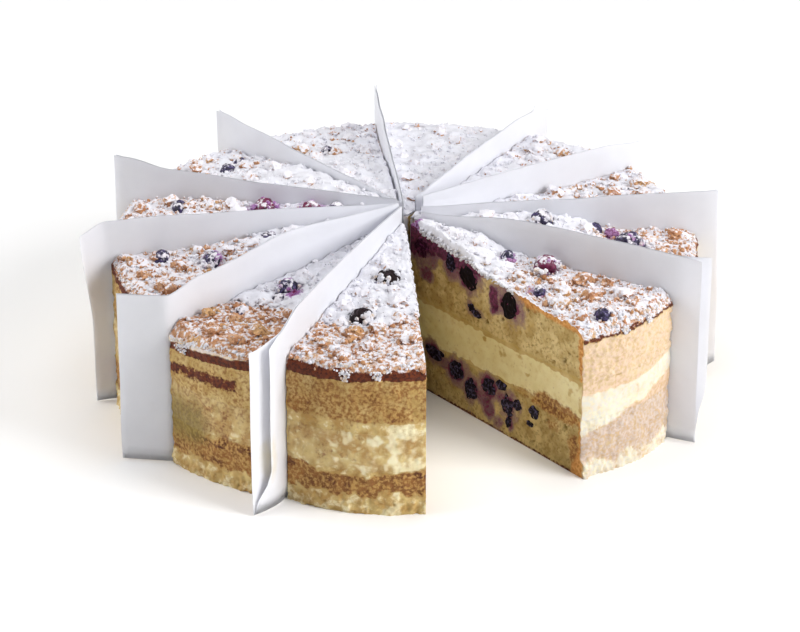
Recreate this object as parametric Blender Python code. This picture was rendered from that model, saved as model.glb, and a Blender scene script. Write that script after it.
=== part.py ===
"""Lemon berry cake: a filled sponge cake cut in twelve, one slice gone, with paper dividers in the cuts.

Eleven slices stand in a ring. Each is a sponge base, a layer of lemon cream and a sponge top whose
crumb topping is fused to it. Whole berries lie in the topping, and cut ones show in the open slice.

Sizes are in millimetres and angles in degrees; the mesh functions turn them into metres. An angle is
measured on plan from the front (-Y) and grows towards +X.
"""

import math
import random

import bmesh
import bpy
from mathutils import Matrix, Vector, noise

MM = 0.001
GAP = 0.3

# The cake: a 10 inch round, and the height of its crust at the rim.
CAKE_RADIUS = 127.0
CRUST_HEIGHT = 63.0
# The top rounds over from the crust to the shoulder, then rises slowly to the middle.
SHOULDER_RISE = 4.4
SHOULDER_WIDTH = 6.0
SHOULDER_POWER = 2.2
DOME_RISE = 8.5
DOME_POWER = 1.6
# The cake's own axis lies this far from the part's origin, so that the origin is the box's middle.
AXIS = Vector((-0.6, -1.5, 0.0))

# Layers: height of the base's top and of the cream's top at the tip and at the rim.
BASE_TOP_TIP = 23.0
BASE_TOP_RIM = 26.5
CREAM_TOP_TIP = 42.8
CREAM_TOP_RIM = 44.2
# A layer that lies lower than these has this share of its drop at the tip, and all of it at the rim.
DROP_AT_TIP = 0.25
# Where a layer has points, as shares of its height and, on the top, of its radius.
COLUMNS = 6
BASE_LEVELS = (0.0, 0.14, 0.6, 1.0)
THREE_LEVELS = (0.0, 0.5, 1.0)
TOP_ROWS = (0.0, 0.16, 0.34, 0.52, 0.7, 0.85, 0.935, 0.975, 1.0)

# Paper: one folded sheet of two plies stands in each cut.
PLY = 0.3
PAPER_THICKNESS = 2 * PLY + GAP
PAPER_CUT = PAPER_THICKNESS / 2 + GAP
PAPER_FOOT = 0.5

TIP_RADIUS = 5.0
# Relief: how high the bumps are and how far apart, on the scraped sides, the cream and the baked top.
SIDE_BUMPS = (0.9, 9.0)
SIDE_FLATTENED = 1.6
CREAM_BUMPS = (0.8, 7.0)
FOOT_BUMPS = (1.1, 6.0)
TOP_BUMPS = (1.1, 8.0)
TOP_BUMPS_FADE = 4.0
CREAM_PROUD = 0.4
# A sponge layer's side draws in at its top and bottom, over this share of its height.
EDGE_IN = 0.7
EDGE_SHARE = 1 / 6
SPREAD_POWER = 40

# Crumbs fused to the tops: how many, their radii, and how far they stay from edges and berries.
CRUMBS_PER_SLICE = 13
CRUMB_RADIUS = (2.3, 4.2)
CRUMB_KNOBS = (0.88, 1.16)
CRUMB_FLATTENED = 0.8
CRUMB_PROUD = 0.25
CRUMB_MARGIN = 1.2
CRUMB_TO_BERRY = 1.0
CRUMB_SPACING = (12.0, 6.0)
CRUMB_TRIES = 4000
RIM_MARGIN = 2.0

# Berries: their own proportions, the turn from one to the next, and the room round a cut one.
BERRY_SHAPE = Vector((1.0, 0.97, 0.86))
BERRY_TURN = 0.35
BERRY_TILT = 0.25
FACE_BERRY_SIDES = 9
FACE_BERRY_SUNK = 0.15
FACE_BERRY_WALL = 1.0
FACE_BERRY_ROOM = 1.3
SOCKET_GAP = Vector((0.45, 0.45, 0.45))

# Cuts from the right side of the gap round behind to its left side: angle, crust's rise there.
CUTS = [
    (4.2, 0.0),
    (-23.5, -2.0),
    (-50.5, -3.0),
    (-80.0, 2.5),
    (-106.0, 4.5),
    (-139.5, 4.0),
    (-174.0, 4.0),
    (-208.0, 4.0),
    (-236.0, 4.0),
    (-268.5, 3.5),
    (-297.3, 2.0),
    (-321.7, 0.0),
]

# Slices: letter, rim's shrink at its right and left cut, bulge between, base and cream lower by, and
# how far the base spreads past the left cut's corner.
SLICES = [
    ("a", 2.5, 6.0, 2.6, 7.0, 7.5, 0.0),
    ("b", 4.0, 1.2, 0.6, 4.5, 5.5, 0.0),
    ("c", 2.6, -0.4, 0.4, 1.5, 2.0, 0.0),
    ("d", 0.0, 0.3, 0.5, 0.0, 0.5, 0.0),
    ("e", 0.2, 0.5, 0.6, -0.5, -1.0, 0.0),
    ("f", 0.4, 0.0, 0.5, 0.5, 0.0, 0.0),
    ("g", 0.0, 0.6, 0.4, -0.5, 0.0, 0.0),
    ("h", 0.5, 0.2, 0.6, 0.5, 1.0, 0.0),
    ("i", 0.2, 0.2, 0.4, 1.0, 0.5, 0.0),
    ("j", -0.8, 0.2, 0.4, 0.0, 0.0, 0.0),
    ("k", 0.0, 8.0, 2.2, 0.0, 0.0, 2.4),
]

# Dividers, one for each cut from the second: where the sheet starts and where it leaves the cake and
# may bend, its outer radius (right ply, fold, left ply), the top edge's height (at the start, at the
# two radii below, at the bend, at the end), how far the outer end sways towards the next cut (right
# ply, fold, left ply), the shares of its height over which the plies part, and the foot's lift.
# A sheet that sways far is straight from the bend on, and any other curls gently.
DIVIDER_MIDDLE = 60.0
DIVIDER_SHOULDER = 108.0
FAR_SWAY = 10.0
CURL_POWER = 1.5
OUTER_STATIONS = (0.15, 0.5, 1.0)
PARTING_STEP = 0.1
DIVIDERS = [
    (3.0, 124.8, (135.0, 140.5, 139.5), (84.0, 84.4, 82.5, 77.0, 73.5), (0.0, 5.6, 6.2), (0.0, 0.25), 0.0),
    (3.0, 126.0, (140.7, 140.7, 140.2), (85.0, 88.5, 82.0, 77.4, 77.2), (15.4, 15.6, 15.9), (0.1, 0.5), 0.0),
    (3.0, 128.6, (141.0, 136.6, 140.4), (84.3, 85.6, 86.0, 85.4, 83.0), (-8.6, -1.2, -8.0), (0.4, 1.0), 0.0),
    (3.0, 128.6, (134.0, 134.0, 133.4), (85.5, 86.0, 87.6, 91.0, 91.0), (1.2, 0.0, 1.8), (0.3, 1.0), 0.0),
    (3.0, 128.6, (132.4, 132.6, 132.6), (84.0, 85.0, 86.4, 87.2, 87.4), (-0.6, 0.0, 0.8), (0.3, 1.0), 0.0),
    (3.0, 128.6, (130.4, 130.5, 130.5), (84.0, 85.6, 87.2, 88.5, 88.5), (0.2, 0.0, 0.6), (0.3, 1.0), 0.0),
    (11.0, 128.6, (140.0, 138.0, 137.4), (83.0, 84.0, 83.5, 82.0, 80.0), (-4.4, 0.0, 3.8), (0.4, 1.0), 0.0),
    (10.0, 128.6, (132.6, 132.4, 132.8), (85.4, 86.0, 85.6, 83.5, 82.0), (-1.2, 0.0, -0.8), (0.4, 1.0), 0.0),
    (7.6, 129.6, (136.4, 138.6, 136.8), (82.4, 85.0, 87.4, 88.4, 88.6), (-1.2, 0.0, -0.4), (0.3, 1.0), 5.5),
    (9.0, 128.6, (141.4, 139.6, 139.6), (81.8, 87.4, 87.0, 86.2, 85.8), (-5.4, -0.4, 0.4), (0.1, 0.3), 0.0),
]

# Whole berries in the topping: angle, radius on plan, how proud it stands, and its own radius.
TOP_BERRIES = [
    (-7.2, 51.0, -1.0, 5.6),
    (-11.6, 84.5, -1.0, 5.2),
    (-41.5, 73.0, -1.0, 5.4),
    (-69.0, 87.0, -1.0, 4.8),
    (-98.5, 61.5, 0.0, 5.4),
    (-97.0, 40.5, 0.0, 4.8),
    (83.0, 60.0, 0.5, 5.2),
    (82.6, 98.5, -0.5, 6.4),
    (56.8, 72.5, 3.0, 5.6),
]

# Berries cut through in the open slice's face: radius on plan, height, half width and half height.
FACE_BERRIES = [
    (12.4, 67.6, 4.6, 4.4),
    (44.9, 64.0, 6.0, 5.0),
    (71.5, 61.4, 5.2, 5.6),
    (22.0, 20.6, 5.8, 2.8),
    (37.6, 17.6, 4.8, 4.2),
    (47.0, 12.6, 4.0, 4.8),
    (59.5, 18.4, 4.6, 4.0),
    (72.0, 14.4, 4.4, 4.8),
]


def material(name, colour, roughness):
    """A plain Principled material of one linear colour."""
    made = bpy.data.materials.new(name)
    made.use_nodes = True
    shader = made.node_tree.nodes["Principled BSDF"]
    shader.inputs["Base Color"].default_value = (*colour, 1.0)
    shader.inputs["Roughness"].default_value = roughness
    shader.inputs["Metallic"].default_value = 0.0
    return made


def mesh_object(name, verts, faces, finish):
    """A named object from points in millimetres about the cake's axis, with its faces turned outwards."""
    shell = bmesh.new()
    made = [shell.verts.new(co + AXIS) for co in verts]
    for face in faces:
        shell.faces.new([made[index] for index in face])
    bmesh.ops.recalc_face_normals(shell, faces=shell.faces)
    bmesh.ops.scale(shell, vec=(MM, MM, MM), verts=shell.verts)
    mesh = bpy.data.meshes.new(name)
    shell.to_mesh(mesh)
    shell.free()
    mesh.materials.append(finish)
    thing = bpy.data.objects.new(name, mesh)
    bpy.context.scene.collection.objects.link(thing)
    return thing


def block(steps, point):
    """The closed skin of a grid of steps cells each way; point places the node i, j, k."""
    index = {}
    verts = []

    def node(i, j, k):
        if (i, j, k) not in index:
            index[i, j, k] = len(verts)
            verts.append(point(i, j, k))
        return index[i, j, k]

    faces = []
    for axis in range(3):
        first, second = [other for other in range(3) if other != axis]
        for end in (0, steps[axis]):
            for p in range(steps[first]):
                for q in range(steps[second]):
                    corners = []
                    for dp, dq in ((0, 0), (1, 0), (1, 1), (0, 1)):
                        place = [0, 0, 0]
                        place[axis] = end
                        place[first] = p + dp
                        place[second] = q + dq
                        corners.append(node(*place))
                    faces.append(corners)
    return verts, faces


def outward(angle):
    turn = math.radians(angle)
    return Vector((math.sin(turn), -math.cos(turn), 0.0))


def sideways(angle):
    """The direction in which the angle grows."""
    turn = math.radians(angle)
    return Vector((math.cos(turn), math.sin(turn), 0.0))


def polar(angle, radius, height):
    return outward(angle) * radius + Vector((0.0, 0.0, height))


def mix(start, end, share):
    return start + (end - start) * share


def smooth(share):
    share = min(1.0, max(0.0, share))
    return share * share * (3.0 - 2.0 * share)


def bumps(place, bump, seed):
    """Smooth bumps of a given height and spacing; each seed has its own."""
    height, spacing = bump
    return height * noise.noise(place / spacing + seed * Vector((1.0, 3.7, -1.0)))


class Slice:
    """One slice's plan: its two cut faces, its rim, and the planes between its layers."""

    def __init__(self, number):
        letter, shrink_right, shrink_left, bulge, base_drop, cream_drop, self.spread = SLICES[number]
        (self.right, self.rise_right), (self.left, self.rise_left) = CUTS[number:number + 2]
        self.name = "slice_" + letter
        self.number = number
        self.gap_right = PAPER_CUT if number > 0 else 0.0
        self.gap_left = PAPER_CUT if number < len(SLICES) - 1 else 0.0
        self.shrink = (shrink_right, shrink_left)
        self.bulge = bulge
        self.drops = (base_drop, cream_drop)
        self.middle = (self.right + self.left) / 2

    def angle(self, radius, share):
        """The angle at a radius, from the right cut face (0) to the left one (1)."""
        right = self.right - math.degrees(math.asin(self.gap_right / radius))
        left = self.left + math.degrees(math.asin(self.gap_left / radius))
        return mix(right, left, share)

    def rim(self, share):
        bulge = self.bulge * 4 * share * (1 - share)
        return CAKE_RADIUS - mix(*self.shrink, share) + bulge

    def plane(self, place, tip, rim, drop):
        """The height of a flat, slightly sloping plane between two layers."""
        reach = place.dot(outward(self.middle)) / CAKE_RADIUS
        return mix(tip, rim, reach) - drop * mix(DROP_AT_TIP, 1.0, reach)

    def base_top(self, place):
        return self.plane(place, BASE_TOP_TIP, BASE_TOP_RIM, self.drops[0])

    def cream_top(self, place):
        return self.plane(place, CREAM_TOP_TIP, CREAM_TOP_RIM, self.drops[1])

    def crust(self, radius, share):
        """The height of the top without its relief."""
        rim = self.rim(share)
        rise = mix(self.rise_right, self.rise_left, share) * radius / rim
        inside = 1 - min(radius / (rim - SHOULDER_WIDTH), 1)
        over = max(0.0, 1 - (rim - radius) / SHOULDER_WIDTH)
        shoulder = SHOULDER_RISE * (1 - over ** SHOULDER_POWER)
        return CRUST_HEIGHT + rise + shoulder + DOME_RISE * inside ** DOME_POWER

    def side(self, place, height, foot, lip):
        """How far the scraped side stands out at a height between a layer's foot and lip."""
        rough = bumps(Vector((place.x, place.y, height * SIDE_FLATTENED)), SIDE_BUMPS, self.number)
        up = (height - foot) / (lip - foot)
        return rough - EDGE_IN * (1 - smooth(min(up, 1 - up) / EDGE_SHARE))


def layer(piece, name, rows, levels, floor, roof, side, finish):
    """A layer of a slice between two heights; rows are the shares of the radius where it has points."""
    def point(i, j, k):
        share = j / COLUMNS
        radius = mix(TIP_RADIUS, piece.rim(share), rows[i])
        place = polar(piece.angle(radius, share), radius, 0.0)
        low = floor(place)
        high = roof(place, radius, share)
        height = mix(low, high, levels[k])
        if i == len(rows) - 1:
            radius += side(place, height, low, high)
        return polar(piece.angle(radius, share), radius, height)

    verts, faces = block((len(rows) - 1, COLUMNS, len(levels) - 1), point)
    return mesh_object(piece.name + "_" + name, verts, faces, finish)


def base_layer(piece, finish):
    def side(place, height, foot, lip):
        flare = bumps(place, FOOT_BUMPS, piece.number + 40) if height < 1.0 else 0.0
        corner = place.normalized().dot(outward(piece.left)) ** SPREAD_POWER
        return piece.side(place, height, foot, lip) + flare + piece.spread * corner

    return layer(piece, "base", (0.0, 1.0), BASE_LEVELS, lambda place: 0.0,
                 lambda place, radius, share: piece.base_top(place), side, finish)


def cream_layer(piece, finish):
    def side(place, height, foot, lip):
        return CREAM_PROUD + bumps(Vector((place.x, place.y, height)), CREAM_BUMPS, piece.number + 20)

    return layer(piece, "cream", (0.0, 1.0), THREE_LEVELS,
                 lambda place: piece.base_top(place) + GAP,
                 lambda place, radius, share: piece.cream_top(place), side, finish)


def top_surface(piece, place, radius, share):
    """The baked top's height with its low relief, which fades out at the crust's edge."""
    relief = bumps(place, TOP_BUMPS, piece.number + 60)
    return piece.crust(radius, share) + relief * smooth((piece.rim(share) - radius) / TOP_BUMPS_FADE)


def top_layer(piece, finish):
    return layer(piece, "top", TOP_ROWS, THREE_LEVELS,
                 lambda place: piece.cream_top(place) + GAP,
                 lambda place, radius, share: top_surface(piece, place, radius, share),
                 piece.side, finish)


def clearance(piece, angle, radius):
    """How far a point of the top is from the nearer cut face and from the rim."""
    to_right = radius * math.sin(math.radians(piece.right - angle)) - piece.gap_right
    to_left = radius * math.sin(math.radians(angle - piece.left)) - piece.gap_left
    return min(to_right, to_left, CAKE_RADIUS - RIM_MARGIN - max(piece.shrink) / 2 - radius)


def share_across(piece, angle, radius):
    right = piece.angle(radius, 0.0)
    left = piece.angle(radius, 1.0)
    return (angle - right) / (left - right)


def rest_on_top(piece, angle, radius):
    place = polar(angle, radius, 0.0)
    place.z = top_surface(piece, place, radius, share_across(piece, angle, radius))
    return place


def crumb(place, radius, draw):
    """One knobbly crumb of twenty faces."""
    shell = bmesh.new()
    bmesh.ops.create_icosphere(shell, subdivisions=1, radius=radius * MM)
    around = draw.uniform(0, math.tau)
    turn = Matrix.Rotation(around, 3, Vector((draw.random(), draw.random(), 1.0)).normalized())
    for vert in shell.verts:
        vert.co = turn @ vert.co * draw.uniform(*CRUMB_KNOBS)
        vert.co.z *= CRUMB_FLATTENED
        vert.co += (place + AXIS) * MM
    mesh = bpy.data.meshes.new("crumb")
    shell.to_mesh(mesh)
    shell.free()
    return bpy.data.objects.new("crumb", mesh)


def ellipsoid(name, centre, half_sizes, turn, sides=0):
    """A berry's body: a sphere stretched to its half sizes, of triangles or of a number of sides."""
    shell = bmesh.new()
    if sides:
        bmesh.ops.create_uvsphere(shell, u_segments=sides, v_segments=4, radius=1.0)
    else:
        bmesh.ops.create_icosphere(shell, subdivisions=2, radius=1.0)
    for vert in shell.verts:
        stretched = Vector([co * half for co, half in zip(vert.co, half_sizes)])
        vert.co = (turn @ stretched + centre + AXIS) * MM
    if turn.determinant() < 0:
        bmesh.ops.reverse_faces(shell, faces=shell.faces)
    mesh = bpy.data.meshes.new(name)
    shell.to_mesh(mesh)
    shell.free()
    return bpy.data.objects.new(name, mesh)


def halve(thing, place, normal):
    """Cuts a mesh along a plane and caps it, leaving the side that the normal points to."""
    shell = bmesh.new()
    shell.from_mesh(thing.data)
    geometry = shell.verts[:] + shell.edges[:] + shell.faces[:]
    bmesh.ops.bisect_plane(shell, geom=geometry, plane_co=(place + AXIS) * MM, plane_no=normal, clear_inner=True)
    edges = [edge for edge in shell.edges if edge.is_boundary]
    bmesh.ops.contextual_create(shell, geom=edges)
    bmesh.ops.recalc_face_normals(shell, faces=shell.faces)
    shell.to_mesh(thing.data)
    shell.free()


def collect(name, things):
    group = bpy.data.collections.new(name)
    bpy.context.scene.collection.children.link(group)
    for thing in things:
        group.objects.link(thing)
    return group


def combine(thing, things, operation):
    """Joins a collection of meshes to a piece, or cuts them out of it, and then removes them."""
    if not things:
        return
    group = collect(operation.lower(), things)
    boolean = thing.modifiers.new(operation.lower(), "BOOLEAN")
    boolean.operation = operation
    boolean.operand_type = "COLLECTION"
    boolean.collection = group
    boolean.solver = "EXACT"
    bpy.context.view_layer.update()
    evaluated = thing.evaluated_get(bpy.context.evaluated_depsgraph_get())
    mesh = bpy.data.meshes.new_from_object(evaluated)
    thing.modifiers.clear()
    thing.data = mesh
    for other in things:
        bpy.data.objects.remove(other)
    bpy.data.collections.remove(group)


def keep_largest(thing):
    """Drops any loose scrap that a cut leaves, so that one body stays."""
    shell = bmesh.new()
    shell.from_mesh(thing.data)
    shell.verts.ensure_lookup_table()
    seen = set()
    bodies = []
    for start in shell.verts:
        if start in seen:
            continue
        body = {start}
        edge = [start]
        while edge:
            for link in edge.pop().link_edges:
                for vert in link.verts:
                    if vert not in body:
                        body.add(vert)
                        edge.append(vert)
        seen |= body
        bodies.append(body)
    bodies.sort(key=len)
    for body in bodies[:-1]:
        bmesh.ops.delete(shell, geom=list(body), context="VERTS")
    shell.to_mesh(thing.data)
    shell.free()


def top_crumbs(piece, taken):
    """Crumbs spread evenly over a slice's top, clear of its faces, of the berries and of each other."""
    draw = random.Random(100 + piece.number)
    placed = []
    crumbs = []
    for attempt in range(CRUMB_TRIES):
        if len(crumbs) == CRUMBS_PER_SLICE:
            break
        tried = attempt / CRUMB_TRIES
        radius = mix(CRUMB_RADIUS[1], CRUMB_RADIUS[0], max(tried, draw.random()))
        reach = radius * CRUMB_KNOBS[1]
        out = CAKE_RADIUS * math.sqrt(draw.random())
        angle = mix(piece.right, piece.left, draw.random())
        if clearance(piece, angle, out) < reach + CRUMB_MARGIN:
            continue
        place = rest_on_top(piece, angle, out)
        if any((place - other).length < mix(*CRUMB_SPACING, tried) for other in placed):
            continue
        if any((place - centre).length < reach + size + CRUMB_TO_BERRY for centre, size in taken):
            continue
        place.z += radius * CRUMB_PROUD
        placed.append(place)
        crumbs.append(crumb(place, radius, draw))
    return crumbs


def top_berries(pieces, finish):
    """Whole berries sunk into the topping, with the socket that each needs and the place it takes."""
    sockets = {piece.number: [] for piece in pieces}
    taken = {piece.number: [] for piece in pieces}
    for count, (angle, out, rise, radius) in enumerate(TOP_BERRIES, 1):
        turned = angle if angle < CUTS[0][0] else angle - 360
        piece = next(one for one in pieces if one.left < turned < one.right)
        centre = rest_on_top(piece, turned, out)
        centre.z += rise
        turn = Matrix.Rotation(BERRY_TURN * count, 3, "Z") @ Matrix.Rotation(BERRY_TILT, 3, "X")
        half_sizes = radius * BERRY_SHAPE
        berry = ellipsoid(f"berry_top_{count:02d}", centre, half_sizes, turn)
        berry.data.materials.append(finish)
        berry.data.shade_smooth()
        bpy.context.scene.collection.objects.link(berry)
        socket = ellipsoid("socket", centre, half_sizes + SOCKET_GAP, turn)
        sockets[piece.number].append(socket)
        taken[piece.number].append((centre, radius))
    return sockets, taken


def face_berries(piece, finish):
    """Berries cut through in the slice's open face, with the sockets in its top and base."""
    along = outward(piece.left)
    inwards = sideways(piece.left)
    turn = Matrix((along, Vector((0, 0, 1)), inwards)).transposed()
    sockets = {"top": [], "base": []}
    for count, (out, height, half_width, half_height) in enumerate(FACE_BERRIES, 1):
        room = out * math.sin(math.radians(piece.right - piece.left)) - piece.gap_right - FACE_BERRY_WALL
        depth = min((half_width + half_height) / 2, room / FACE_BERRY_ROOM)
        centre = along * out + Vector((0, 0, height)) + inwards * FACE_BERRY_SUNK * depth
        half_sizes = Vector((half_width, half_height, depth))
        berry = ellipsoid(f"berry_face_{count:02d}", centre, half_sizes, turn, FACE_BERRY_SIDES)
        halve(berry, along * out, inwards)
        berry.data.materials.append(finish)
        bpy.context.scene.collection.objects.link(berry)
        socket = ellipsoid("socket", centre, half_sizes + SOCKET_GAP, turn, FACE_BERRY_SIDES)
        sockets["top" if height > CREAM_TOP_RIM else "base"].append(socket)
    return sockets


def height_between(marks, heights, radius):
    """The height at a radius along a line through the heights at some marks."""
    for mark, further, height, next_height in zip(marks, marks[1:], heights, heights[1:]):
        if radius <= further:
            return mix(height, next_height, smooth((radius - mark) / (further - mark)))
    return heights[-1]


def divider(number, finish):
    """A sheet folded at its foot into two plies, which part towards the top and the outer end."""
    angle = CUTS[number + 1][0]
    inner, bend, outer, tops, sways, parting, lift = DIVIDERS[number]
    along = outward(angle)
    across = -sideways(angle)
    marks = (inner, DIVIDER_MIDDLE, DIVIDER_SHOULDER, bend, max(outer))
    stations = [(mark, 0.0) for mark in marks[:4]]
    stations += [(bend, share) for share in OUTER_STATIONS]
    half = (PLY + GAP) / 2
    # Round the fold: which ply, the share of its height, and the place across the fold.
    levels = (1.0, mix(*parting, 0.5), parting[0] + PARTING_STEP, 0.0)
    path = [(0, up, -half) for up in levels] + [(1, 0.0, 0.0)] + [(2, up, half) for up in levels[::-1]]

    def sheet(i, j):
        start, share = stations[i]
        ply, up, offset = path[j]
        free = smooth((up - parting[0]) / (parting[1] - parting[0]))
        reach = mix(outer[1], outer[ply], free)
        radius = mix(start, reach, share)
        sway = mix(sways[1], sways[ply], free) * share ** (1.0 if abs(sways[1]) > FAR_SWAY else CURL_POWER)
        top = height_between(marks, tops, radius)
        foot = PAPER_FOOT + PLY / 2 + lift * share + (0.0 if ply == 1 else half)
        return along * radius + across * (offset + sway) + Vector((0, 0, mix(foot, top, up)))

    last_i = len(stations) - 1
    last_j = len(path) - 1

    def point(i, j, k):
        run = sheet(min(i + 1, last_i), j) - sheet(max(i - 1, 0), j)
        rise = sheet(i, min(j + 1, last_j)) - sheet(i, max(j - 1, 0))
        normal = run.cross(rise).normalized()
        return sheet(i, j) + normal * PLY * (k - 0.5)

    verts, faces = block((last_i, last_j, 1), point)
    return mesh_object(f"divider_{number + 1:02d}", verts, faces, finish)


def build():
    for thing in list(bpy.data.objects):
        bpy.data.objects.remove(thing)
    sponge = material("sponge", (0.66, 0.45, 0.19), 0.85)
    cream = material("lemon_cream", (0.86, 0.74, 0.42), 0.55)
    topping = material("sugared_crumb_topping", (0.80, 0.72, 0.62), 0.9)
    paper = material("greaseproof_paper", (0.84, 0.84, 0.88), 0.7)
    berry = material("berry_skin", (0.035, 0.02, 0.07), 0.45)

    pieces = [Slice(number) for number in range(len(SLICES))]
    sockets, taken = top_berries(pieces, berry)
    cut_sockets = face_berries(pieces[-1], berry)
    for piece in pieces:
        base = base_layer(piece, sponge)
        cream_layer(piece, cream)
        top = top_layer(piece, topping)
        combine(top, top_crumbs(piece, taken[piece.number]), "UNION")
        holes = sockets[piece.number]
        if piece is pieces[-1]:
            combine(base, cut_sockets["base"], "DIFFERENCE")
            holes = holes + cut_sockets["top"]
        combine(top, holes, "DIFFERENCE")
        keep_largest(top)
        keep_largest(base)
    for number in range(len(DIVIDERS)):
        divider(number, paper)


build()
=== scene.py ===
"""How a lemon berry cake looks: a filled sponge cut in twelve, one slice gone, papers standing in the cuts.

Lengths are in millimetres about the cake's own axis, and piece() turns them into metres in the frame.
An angle is in degrees on plan, from the front (-Y), and grows towards +X. Of a slice, the share across
runs from its right cut (0) to its left cut (1), and the share out from its tip (0) to its rim (1).
"""

import math
import random

import bmesh
import bpy
import numpy as np
from mathutils import Matrix, Vector, noise


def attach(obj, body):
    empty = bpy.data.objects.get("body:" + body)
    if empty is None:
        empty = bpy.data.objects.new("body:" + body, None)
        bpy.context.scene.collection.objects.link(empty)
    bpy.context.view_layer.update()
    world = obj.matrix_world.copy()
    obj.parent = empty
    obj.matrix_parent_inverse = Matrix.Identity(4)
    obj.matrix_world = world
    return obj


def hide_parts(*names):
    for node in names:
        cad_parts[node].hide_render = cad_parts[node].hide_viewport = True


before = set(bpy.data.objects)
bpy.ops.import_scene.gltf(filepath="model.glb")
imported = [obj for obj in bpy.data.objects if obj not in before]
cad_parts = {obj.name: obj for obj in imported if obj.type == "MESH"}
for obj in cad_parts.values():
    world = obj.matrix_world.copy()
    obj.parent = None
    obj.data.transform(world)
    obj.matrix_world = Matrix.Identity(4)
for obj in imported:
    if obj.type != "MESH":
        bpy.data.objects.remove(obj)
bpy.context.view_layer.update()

# The sponge bases: the lower half of each slice of a lemon sponge that was baked in a tin, split, filled
# and cut. The cuts show its bubbles and browned skin, and its outside is scraped with cream and crumb.

MM = 0.001
AXIS = np.array((-0.6, -1.5, 0.0))
CAKE_RADIUS = 127.0
TIP_RADIUS = 5.0
GAP = 0.05
PAPER_CUT = 0.75
CRUST_HEIGHT = 63.0
SHOULDER_RISE = 4.4
SHOULDER_WIDTH = 6.0
SHOULDER_POWER = 2.2
DOME_RISE = 8.5
BASE_TOP = (23.0, 26.5)
CREAM_TOP = (42.8, 44.2)
UP = np.array((0.0, 0.0, 1.0))

# Cuts, from the right side of the gap round behind to its left side: angle, crust's rise there.
CUTS = [
    (4.2, 0),
    (-23.5, -2),
    (-50.5, -3),
    (-80, 2.5),
    (-106, 4.5),
    (-139.5, 4),
    (-174, 4),
    (-208, 4),
    (-236, 4),
    (-268.5, 3.5),
    (-297.3, 2),
    (-321.7, 0),
]

# Slices: letter, rim's shrink at its right and left cut, bulge between, base and cream lower by, and
# how far the base spreads past the left cut's corner.
SLICES = [
    ("a", 2.5, 6, 2.6, 7, 7.5, 0),
    ("b", 4, 1.2, 0.6, 4.5, 5.5, 0),
    ("c", 2.6, -0.4, 0.4, 1.5, 2, 0),
    ("d", 0, 0.3, 0.5, 0, 0.5, 0),
    ("e", 0.2, 0.5, 0.6, -0.5, -1, 0),
    ("f", 0.4, 0, 0.5, 0.5, 0, 0),
    ("g", 0, 0.6, 0.4, -0.5, 0, 0),
    ("h", 0.5, 0.2, 0.6, 0.5, 1, 0),
    ("i", 0.2, 0.2, 0.4, 1, 0.5, 0),
    ("j", -0.8, 0.2, 0.4, 0, 0, 0),
    ("k", 0, 8, 2.2, 0, 0, 2.4),
]

# Scraped outsides: the cream smear's foot, then its top, at the right cut, the middle and the left cut;
# how plainly it shows there; how toasted the sponge is over it and under it; how far a painted highlight
# washes it all out; how far below the crust's edge the dark band starts in those three places; and how
# deep it is there.
OUTSIDES = {
    "a": ((21.5, 15.5, 21.5), (42.5, 42, 42.5), (0.95, 0.62, 0.5), 0.7, 1.3, 0,
          (-2.3, -1.6, -3), (4.2, 3.2, 4.6)),
    "b": ((22.5, 21, 19), (34, 33, 31), (0.62, 0.3, 0.05), 0.45, 1.05, 0,
          (-1.6, 0.8, 2.6), (4, 4.9, 3.4)),
    "j": ((24, 23, 24), (40, 39, 40), (0.9, 0.8, 0.9), 0.2, 0.5, 0.5,
          (-1, -1, -1), (2, 2, 2)),
    "k": ((34.5, 27.5, 19), (44, 39.8, 38.5), (1.5, 1.5, 1.5), 0.4, 0.95, 1,
          (-0.6, -1, -0.6), (2, 2, 2)),
}
USUAL_OUTSIDE = ((23, 19, 22), (42, 40, 42.5), (0.75, 0.55, 0.65), 0.5, 0.8, 0,
                 (-0.5, -0.8, -0.4), (3, 3, 3))
# How high the crumb and cream at the foot reach.
FOOT = 8.5

# Juice that soaked into the open slice's cut face: radius, height, half width, half height, strength.
STAINS = [
    (6, 72.5, 12, 9.5, 1.3),
    (16, 70.5, 7, 7, 1.2),
    (20, 66, 5, 6, 0.7),
    (13, 61, 5, 4, 0.55),
    (32, 66, 6.5, 7.5, 0.72),
    (33, 70, 13, 3.8, 1.15),
    (48, 70, 8, 2.8, 1),
    (61.3, 60.5, 3, 5.6, 1.2),
    (65.5, 58.5, 6, 4.5, 0.66),
    (16.1, 56, 5, 4, 0.78),
    (12.5, 60, 4, 5, 0.5),
    (49.6, 50.2, 7.5, 3, 0.6),
    (45.5, 52.5, 2.5, 2.4, 0.6),
    (54, 12, 5.5, 5, 0.74),
    (59, 8, 6, 5, 0.78),
    (65.5, 4.5, 4, 4, 0.6),
    (67, 17, 4.5, 4.5, 0.74),
    (73.5, 8.5, 2.2, 6, 0.8),
    (29, 18.5, 8, 3.5, 0.66),
]

# Berries cut in half there: radius, height, half width and half height.
CUT_BERRIES = [
    (12.4, 67.6, 4.6, 4.4),
    (44.9, 64, 6, 5),
    (71.5, 61.4, 5.2, 5.6),
    (22, 20.6, 5.8, 2.8),
    (37.6, 17.6, 4.8, 4.2),
    (47, 12.6, 4, 4.8),
    (59.5, 18.4, 4.6, 4),
    (72, 14.4, 4.4, 4.8),
]

# What the same cut left in the facing slice, whose cut face can't be seen from the front.
OTHER_CUT_BERRIES = [
    (20, 66, 5, 4.6),
    (38, 18, 4.4, 4),
    (52, 62.5, 4.6, 5),
    (57, 14, 4, 4.4),
    (69, 19, 3.4, 3),
    (84, 60, 3.6, 3.8),
    (93, 12, 3, 3.4),
]

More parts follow.
